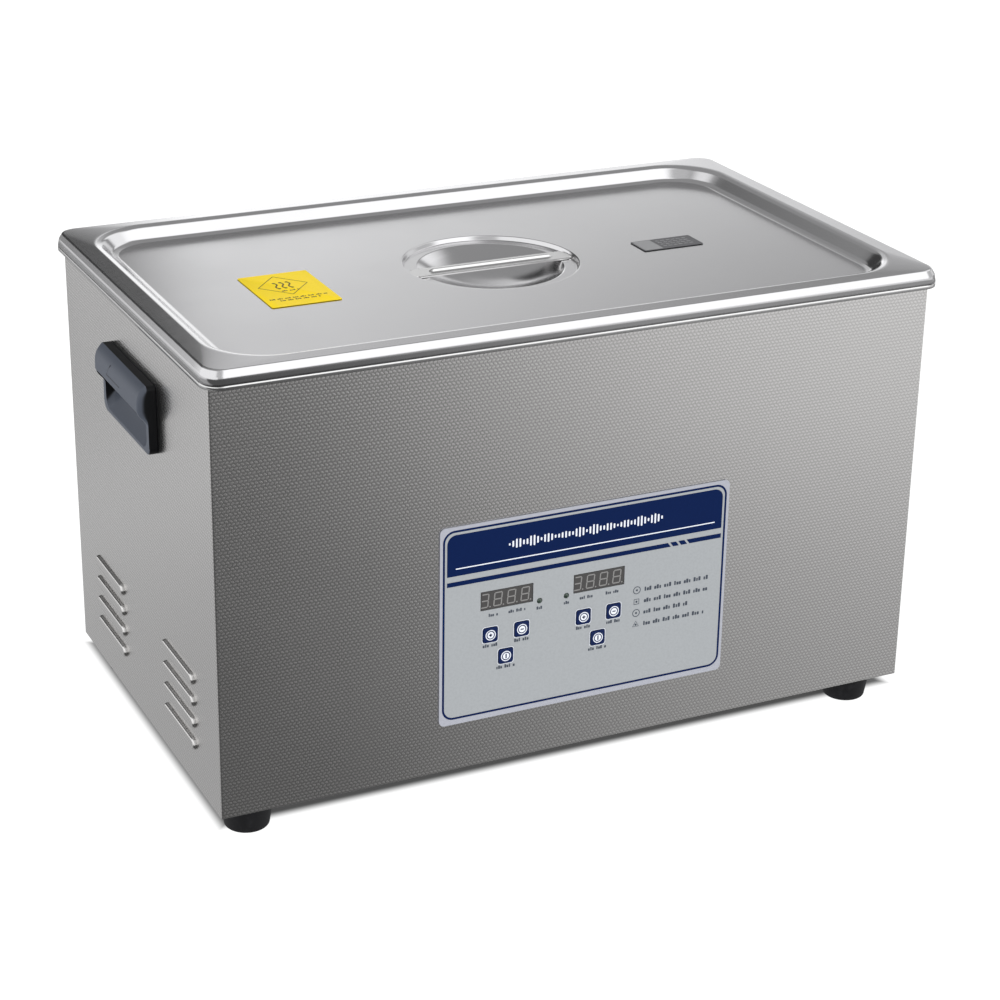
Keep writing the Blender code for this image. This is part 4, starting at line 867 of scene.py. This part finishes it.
def handle_rows():
    """Cross-sections of a handle in (u, v, d), one for each station along it.

    A section runs up the front of the lower plate, through the finger pocket, or along the solid
    cheek at the ends, out to the hood's lip, up the convex hood, and back down behind the wall.
    """
    hood_corner = 4 * MM
    behind, buried = 0.3 * MM, -9 * MM
    back_low, back_high = -15.5 * MM, 17.5 * MM
    bevel, bevel_bend, lip_roll = 1.2 * MM, 0.35 * MM, 0.8 * MM
    rows = []
    for u in handle_stations():
        reach = abs(u)
        low = corner_cut(reach, LOWER_CORNER) - HANDLE_HALF_HEIGHT
        high = HANDLE_HALF_HEIGHT - corner_cut(reach, UPPER_CORNER)
        hood = PLATE_REACH + (HOOD_REACH - PLATE_REACH) * (1 - corner_cut(reach, hood_corner) / hood_corner)
        past = min(SCOOP_CORNER, max(0.0, reach - POCKET_HALF + SCOOP_CORNER))
        plate_top = SCOOP_FOOT + SCOOP_CORNER - math.sqrt(SCOOP_CORNER**2 - past**2)
        lip = (hood - HOOD_EDGE[0], HOOD_LIP - HOOD_EDGE[1])
        lines = pocket_lines if reach <= POCKET_HALF + 0.01 * MM else cheek_lines
        ramp, back = lines(plate_top, lip)
        rise = np.linspace(0, 1, 14)[:, None]
        out = PLATE_REACH + (hood - PLATE_REACH) * (1 - rise**4)
        foot = HOOD_LIP + lip_roll
        front = np.concatenate([out, foot + (high - foot) * rise], 1)
        depth = buried if reach < POCKET_HALF + POCKET_WALL + 0.1 * MM else behind
        rear = [(behind, high), (behind, back_high), (depth, back_high)]
        rear += [(depth, back_low), (behind, back_low), (behind, low)]
        bottom = [
            (PLATE_REACH - bevel, low),
            (PLATE_REACH - bevel_bend, low + bevel_bend),
            (PLATE_REACH, low + bevel),
        ]
        section = np.concatenate([bottom, ramp, resampled(back, 17), front, rear])
        rows.append(np.stack([np.full(len(section), u), section[:, 1], section[:, 0]], 1))
    return rows


def make_handles(finishes):
    """The two handles, each with the dark seam of the hood's lid: down its left side and along it."""
    rows = handle_rows()
    down = [(-13.6, 19.2, 11), (-16.4, 15, 11.8), (-19, 11, 12.2)]
    path = np.array(down + [(-6, 11.1, 12.2), (8, 11.2, 12.2)]) * MM
    seam = tube(path, 0.28 * MM, 8)
    for side, name in ((-1, "handle_left"), (1, "handle_right")):
        grip = on_end(skin(rows), side, HANDLE_V)
        piece(f"{name}_grip", [grip], finishes["slate_plastic"], "housing", (name,), 28)
        line = on_end(seam, side, HANDLE_V)
        piece(f"{name}_seam", [line], finishes["black_plastic"], "housing")


# Control panel


def on_panel(name):
    """A node's middle and size in (u, v) from the panel's middle, and its back and its face in d."""
    low, high = (np.array(corner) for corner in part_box(name))
    middle = (low + high) / 2 - PANEL
    return middle[[0, 2]], (high - low)[[0, 2]], -high[1] - SIDE_WALL, -low[1] - SIDE_WALL


def make_film(finishes):
    """The printed layers on the film: the pale edge, the navy outline, header and broken stripe."""
    length, height = (FILM_HIGH - FILM_LOW)[[0, 2]] + 0.06 * MM
    fine = dict(long=8, arc=10, short=8)
    line, lift = 1.5 * MM, (0, 0.7 * MM)
    outer = rounded(length, height, 4 * MM, **fine)
    length, height, corner = 212.1 * MM, 137.9 * MM, 8.4 * MM
    outline_out = rounded(length, height, corner, **fine) + lift
    outline_in = rounded(length - 2 * line, height - 2 * line, corner - line, **fine) + lift
    rim = PRINT_FACE - 0.04 * MM
    rows = [at(outer, FILM_FACE - 0.8 * MM), at(outer, rim)]
    rows += [at(outline_out, rim), at(outline_out, PRINT_BACK)]
    edge = on_front(skin(rows, ring=True))
    piece("film_edge", [edge], finishes["film_border"], "housing")

    bodies = [band(outline_out, outline_in, PRINT_BACK, PRINT_FACE)]
    half, bend = 103 * MM, 6.5 * MM
    header_low, header_high = 37 * MM, 66.4 * MM
    turn = np.linspace(0, math.pi / 2, 10)
    right = np.stack([half - bend + bend * np.cos(turn), header_high - bend + bend * np.sin(turn)], 1)
    header = np.concatenate([[(half, header_low)], right, right[::-1] * (-1, 1), [(-half, header_low)]])
    bodies.append(plate(header, PRINT_BACK, PRINT_FACE))

    stripe_low, stripe_high = 29.7 * MM, 32.9 * MM
    gap, lean = 0.9 * MM, 1.2 * MM
    cuts = [63.6 * MM, 69.9 * MM, 76.3 * MM]
    edges = [-half] + [cut + sign * gap for cut in cuts for sign in (-1, 1)] + [half]
    for start, end in zip(edges[::2], edges[1::2]):
        slant_start = lean if start > -half else 0
        slant_end = lean if end < half else 0
        stripe = [
            (start + slant_start, stripe_low),
            (end + slant_end, stripe_low),
            (end - slant_end, stripe_high),
            (start - slant_start, stripe_high),
        ]
        bodies.append(plate(stripe, PRINT_BACK, PRINT_FACE))
    bodies = [on_front(body) for body in bodies]
    piece("panel_navy_print", bodies, finishes["navy_ink"], "housing")


def make_white_print(finishes):
    """A fine line along the header, a frame round each key, and a row of upright bars in place of a
    title: their heights follow one sine wave whose swing follows a second, slower one."""
    line = stroke((-96.8 * MM, 42.1 * MM), (97.5 * MM, 42.1 * MM), 0.75 * MM)
    bodies = [plate(line, PRINT_BACK, OVER_PRINT)]
    bar_width, shortest, growth, bar_v = 1.25 * MM, 1.6 * MM, 6 * MM, 53 * MM
    for index, u in enumerate(np.linspace(-58, 56, 45) * MM):
        swell = abs(math.sin(index * 0.71)) * (0.35 + 0.65 * abs(math.sin(index * 0.19 + 0.4)))
        bar = rounded(bar_width, shortest + growth * swell, 0.5 * MM, 1, 3, 1) + (u, bar_v)
        bodies.append(plate(bar, PRINT_BACK, OVER_PRINT))
    outside, frame_line = 12.2 * MM, 0.35 * MM
    for name in KEY_NAMES:
        outer = rounded(outside, outside, 2.2 * MM, 2, 6, 2) + on_panel(name)[0]
        inside = outside - 2 * frame_line
        inner = rounded(inside, inside, 1.9 * MM, 2, 6, 2) + on_panel(name)[0]
        bodies.append(band(outer, inner, PRINT_BACK, PRINT_FACE))
    bodies = [on_front(body) for body in bodies]
    piece("panel_white_print", bodies, finishes["white_ink"], "housing")


def make_captions(finishes):
    """Blocks for the small print under displays, lamps and keys, and for the four lines at the right,
    each of which starts with a small ringed sign."""
    lines = [
        (-68.8, 4.1, 8, 2.3),
        (-51.6, 4.1, 13, 2.3),
        (-35, 2.7, 4.6, 2.3),
        (-14.8, 2.7, 4.6, 2.3),
        (0, 4.1, 10, 2.3),
        (20.2, 4.1, 11, 2.3),
    ]
    for name in KEY_NAMES:
        u, v = on_panel(name)[0] / MM
        lines.append((u, v - 7.8, 14 if "power" in name else 11, 2.5))
    notes_start, sign_u = 44.5, 38.9 * MM
    notes = ((1.7, 96.1, 24), (-6.9, 95.1, 4), (-15.4, 79.5, 24), (-24.2, 92.8, 3))
    for v, end, _ in notes:
        lines.append(((notes_start + end) / 2, v, end - notes_start, 3.1))
    bodies = []
    for seed, (u, v, length, height) in enumerate(lines):
        for block in greeked(length * MM, height * MM, seed):
            bodies.append(plate(block + (u * MM, v * MM), PRINT_BACK, PRINT_FACE))
    for v, _, sides in notes:
        place = (sign_u, v * MM)
        turn = math.pi / 2 + (math.pi / 4 if sides == 4 else 0)
        spin = np.array([[math.cos(turn), math.sin(turn)], [-math.sin(turn), math.cos(turn)]])
        outer, inner = (circle(radius * MM, sides) @ spin + place for radius in (2.9, 2.35))
        bodies.append(band(outer, inner, PRINT_BACK, PRINT_FACE))
        bodies.append(plate(circle(0.8 * MM, 12, place), PRINT_BACK, PRINT_FACE))
    bodies = [on_front(body) for body in bodies]
    piece("panel_captions", bodies, finishes["caption_ink"], "housing")


def digit(u, clip):
    """Outlines of a seven-segment figure eight and its point, each segment a leaning six-sided bar.
    Whatever lies left of clip is left out."""
    half_width, half_height, thick, lean = 2.7 * MM, 4.7 * MM, 0.85 * MM, 0.09
    gap_u, gap_v = 0.5 * MM, 0.45 * MM
    left = max(-half_width, clip - u + 0.3 * MM)
    bars = []
    for v in (half_height, 0, -half_height):
        bars.append(((left + gap_u, v), (half_width - gap_u, v)))
    for x in (-half_width, half_width):
        for low, high in ((-half_height, 0), (0, half_height)):
            if x + u > clip + 0.4 * MM:
                bars.append(((x, low + gap_v), (x, high - gap_v)))
    outlines = []
    for start, end in np.array(bars):
        way = (end - start) / np.linalg.norm(end - start)
        tip, side = way * thick / 2, np.array([-way[1], way[0]]) * thick / 2
        outline = np.array([start - tip, start - side, end - side, end + tip, end + side, start + side])
        outline[:, 0] += outline[:, 1] * lean + u
        outlines.append(outline)
    outlines.append(circle(0.55 * MM, 10, (u + half_width + 1.3 * MM, -half_height)))
    return outlines


def make_displays(finishes):
    """Dark windows with a chamfered edge, and the unlit figures on them."""
    chamfer = 0.15 * MM
    for name in ("temperature_display", "time_display"):
        (u, v), (length, height), back, face = on_panel(name)
        outline = rounded(length, height, 0.35 * MM, 2, 4, 2)
        inner = rounded(length - 2 * chamfer, height - 2 * chamfer, 0.3 * MM, 2, 4, 2)
        window = on_front(skin([at(outline, back), at(outline, face - chamfer), at(inner, face)]), u, v)
        piece(f"{name}_window", [window], finishes["display_glass"], "housing", (name,))
        figures = []
        for place in (2.6, 12.4, 22.3, 32.4):
            figures += digit(place * MM - length / 2, -length / 2)
        bodies = [on_front(plate(figure, face - PRINT, face + PRINT), u, v) for figure in figures]
        piece(f"{name}_figures", bodies, finishes["segment_grey"], "housing")


def make_keys(finishes):
    """Square caps with softened corners on round stems, each with a ring round a disc and its sign."""
    ring_out, ring_in, disc = (circle(radius * MM, 32) for radius in (3.75, 3.1, 2.35))
    stem_radius, cap_depth, corner = 1.6 * MM, 1.4 * MM, 1.5 * MM
    easing = np.array([(0, 0.45), (0.06, 0.2), (0.2, 0.05), (0.45, 0)]) * MM
    for name in KEY_NAMES:
        (u, v), (size, _), stem_end, face = on_panel(name)
        back = face - cap_depth
        rows = []
        for cut, depth in [(0, cap_depth), *easing]:
            rows.append(at(rounded(size - 2 * cut, size - 2 * cut, corner, 3, 6, 3), face - depth))
        stem = circle(stem_radius, 20)
        cap = [skin(rows), skin([at(stem, stem_end), at(stem, back + 0.3 * MM)])]
        cap = [on_front(body, u, v) for body in cap]
        piece(f"{name}_cap", cap, finishes["key_blue"], name, (name,))
        low, high = face - PRINT, face + PRINT
        rings = [band(ring_out, ring_in, low, high), plate(disc, low, high)]
        rings = [on_front(body, u, v) for body in rings]
        piece(f"{name}_ring", rings, finishes["white_ink"], name)
        reach, line = 1.2 * MM, 0.8 * MM
        marks = [stroke((-reach, 0), (reach, 0), line)]
        if "up" in name:
            marks.append(stroke((0, -reach), (0, reach), line))
        if "power" in name:
            marks = [stroke((0, -1.7 * MM), (0, 1.7 * MM), 0.9 * MM)]
        signs = [on_front(plate(mark, face, face + 2 * PRINT), u, v) for mark in marks]
        piece(f"{name}_sign", signs, finishes["navy_ink"], name)


def make_lamps(finishes):
    """Domed lenses: an arc of nearly a quarter turn, flattened to the dome's height."""
    dome = 0.9 * MM
    swing = np.linspace(0, math.radians(82), 8)
    for name in ("heater_led", "timer_led"):
        (u, v), (size, _), back, face = on_panel(name)
        radius = size / 2
        arc = [(radius * math.cos(a), face - dome + dome * math.sin(a)) for a in swing]
        lens = on_front(turned([(radius, back)] + arc, 32), u, v)
        piece(f"{name}_lens", [lens], finishes["led_lens"], "housing", (name,))


# Feet, fan guard and tap


def make_feet(finishes):
    """Turned rubber feet with a softened foot ring and a recess for the screw."""
    top = float(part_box("foot_front_left")[1][2]) / MM
    tread, shoulder, collar = 15, 18, 3
    bore, bore_depth, hole = 6.2, 12, 2.7
    corners = [
        (bore, bore_depth / 2),
        (bore, 0),
        (tread, 0),
        (shoulder, top - collar),
        (shoulder, top),
        (hole, top),
        (hole, bore_depth),
        (bore, bore_depth),
        (bore, bore_depth / 2),
    ]
    profile = softened(corners, (0.8, 2.2, 0.8, 0.6, 0, 0, 0), 5, 0.1)[:-1]
    for name in [node for node in frame["nodes"] if node.startswith("foot_") and "screw" not in node]:
        low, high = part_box(name)
        foot = shifted(lathe_ring(profile * MM, 72), (low[0] + high[0]) / 2, (low[1] + high[1]) / 2)
        piece(f"{name}_rubber", [foot], finishes["foot_rubber"], "housing", (name,))


def make_fan_guard(finishes):
    """Five wire rings on four spokes that end in eyes, each held by a domed screw."""
    low, high = (np.array(corner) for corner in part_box("fan_guard"))
    middle = (low + high) / 2
    wire, level, spoke_drop = 1.1 * MM, 1.6 * MM, 0.6 * MM
    rings = np.array([39, 31.5, 24, 16.5, 9]) * MM
    spoke_start, screw_place = 8 * MM, 35.75 * MM * math.sqrt(2)
    screw = np.array([(3.4, 0.4), (3.4, 1.6), (2.6, 2.6), (1.2, 2.9)]) * MM
    bodies = [tube(at(circle(radius, 72), level), wire, 10, ring=True) for radius in rings]
    for turn in np.radians((45, 135, 225, 315)):
        way = np.array([math.cos(turn), math.sin(turn)])
        spoke = [(*(way * reach), level - spoke_drop) for reach in (spoke_start, screw_place)]
        bodies.append(tube(spoke, wire, 10))
        bodies.append(shifted(turned(screw, 32), *(way * screw_place)))
    bodies = [on_back(body, middle[0], middle[2]) for body in bodies]
    piece("fan_wire_guard", bodies, finishes["screw_steel"], "housing", ("fan_guard",), 50)


# Stage


def make_stage():
    """A wide white floor that glows evenly, except in a soft-edged painted shadow under the cleaner, where
    it glows much less.

    The painted shadow is the casing's outline, moved to the back right, so that only its edge shows.
    """
    reach = 40.0
    glow, dark = 1.02, 0.05
    shift_x, shift_y = 10 * MM, 26 * MM
    edge_out, edge_in = -4 * MM, 7 * MM
    corners = np.array([(-reach, -reach), (reach, -reach), (reach, reach), (-reach, reach)])
    mesh = bpy.data.meshes.new("floor")
    mesh.from_pydata(at(corners, 0.0).tolist(), [], [(0, 1, 2, 3)])
    floor = bpy.data.objects.new("floor", mesh)
    bpy.context.scene.collection.objects.link(floor)
    floor.visible_glossy = False
    paint = Finish("floor_glow_painted_shadow", (0.1, 0.1, 0.1), 0.9)
    x, y, _ = paint.parts(paint.place())
    half_length, half_width = (CASING_HIGH - CASING_LOW)[:2] / 2
    past_x = half_length - abs(x - (CENTRE_X + shift_x))
    past_y = half_width - abs(y - shift_y)
    inside = paint.math("MINIMUM", past_x, past_y)
    # Painted shadow: inside the moved outline of the casing, the floor's glow falls to a low value
    strength = glow - paint.step(inside, edge_out, edge_in) * (glow - dark)
    paint.set(**{"Emission Color": (1, 1, 1, 1), "Emission Strength": strength})
    mesh.materials.append(paint.material)


def make_world():
    """A studio as smooth fields of brightness by direction: they make the steel's reflections."""
    world = bpy.data.worlds.new("studio")
    bpy.context.scene.world = world
    graph = Graph(world)
    x, y, z = graph.parts(graph.node("ShaderNodeTexCoord").outputs["Generated"])

    # Low in front: dark at the left and bright at the right, less bright far down
    far_down = graph.step(z, -0.33, -0.43)
    front_low = 0.115 + graph.step(x, 0.31, 0.48) * (0.9 - far_down * 0.58)

    # High in front: a large softbox, brightest from the middle to the right
    softbox = 0.75 + graph.step(x, -0.1, 0.15) * graph.step(x, 0.85, 0.7) * 1.0
    front = front_low + graph.step(z, -0.2, 0.0) * (softbox - front_low)

    # Low behind: brighter upwards, with one ripple, and changing brightness at the left
    ripple = graph.step(z, -0.44, -0.38) - graph.step(z, -0.38, -0.34)
    back_low = 0.5 + graph.step(z, -0.4, -0.3) * 0.2 + ripple * 0.12
    near = graph.step(x, -0.27, -0.3) * 0.85 - 0.5
    back_low = back_low * (1.0 + near * graph.step(z, -0.4, -0.35) * 0.8)

    # High behind: dark at the left, then bright and fading to the right, and even overhead
    back_high = 0.06 + graph.step(x, 0.26, 0.305) * (0.9 - graph.step(x, 0.22, 0.62) * 0.68)
    back_high = back_high - graph.step(z, 0.42, 0.56) * (back_high - 0.4)

    # A bright band over the horizon behind, and a bright far right
    back_high = back_high + graph.step(z, 0.33, 0.2) * graph.step(x, 0.16, 0.3) * 0.75
    far_right = graph.step(x, 0.52, 0.68) * graph.step(z, 0.34, 0.44)
    back_high = back_high + far_right * (1.4 - back_high)
    back = back_low + graph.step(z, -0.05, 0.1) * (back_high - back_low)

    # One bright wall at the left
    light = back + graph.step(y, 0.1, -0.1) * (front - back)
    left = graph.step(x, -0.4, -0.5) * graph.step(z, -0.24, -0.12)
    light = light + left * (1.35 - light)
    background = graph.tree.nodes["Background"]
    graph.feed(background.inputs["Color"], (0.985, 0.99, 1.0, 1))
    graph.feed(background.inputs["Strength"], light)


def make_camera():
    data = bpy.data.cameras.new("camera")
    data.lens = 89.0
    data.sensor_width = 36.0
    data.clip_end = 100.0
    camera = bpy.data.objects.new("camera", data)
    bpy.context.scene.collection.objects.link(camera)
    heading, tilt, roll = math.radians(-25.79), math.radians(90 - 22.88), math.radians(0.93)
    turn = Matrix.Rotation(heading, 4, "Z") @ Matrix.Rotation(tilt, 4, "X") @ Matrix.Rotation(roll, 4, "Z")
    camera.matrix_world = Matrix.Translation((-0.7311, -1.4865, 0.8398)) @ turn
    bpy.context.scene.camera = camera


def dress_frame(finishes):
    """Gives every CAD node that stays its finish."""
    slots = {row["node"]: row["material_slot"] for row in frame["record"]["subparts"]}
    slots["bottom_cover"] = "cover_steel"
    for name, node in frame["nodes"].items():
        node.data.materials.clear()
        node.data.materials.append(finishes[slots[name]])


def main():
    finishes = make_finishes()
    dress_frame(finishes)
    make_camera()
    make_stage()
    make_world()
    make_lid(finishes)
    make_grip(finishes)
    make_tank(finishes)
    make_warning_label(finishes)
    make_rating_label(finishes)
    make_louvres(finishes)
    make_handles(finishes)
    make_film(finishes)
    make_white_print(finishes)
    make_captions(finishes)
    make_displays(finishes)
    make_keys(finishes)
    make_lamps(finishes)
    make_feet(finishes)
    make_fan_guard(finishes)
    settings = bpy.context.scene.view_settings
    settings.view_transform = "Standard"


main()
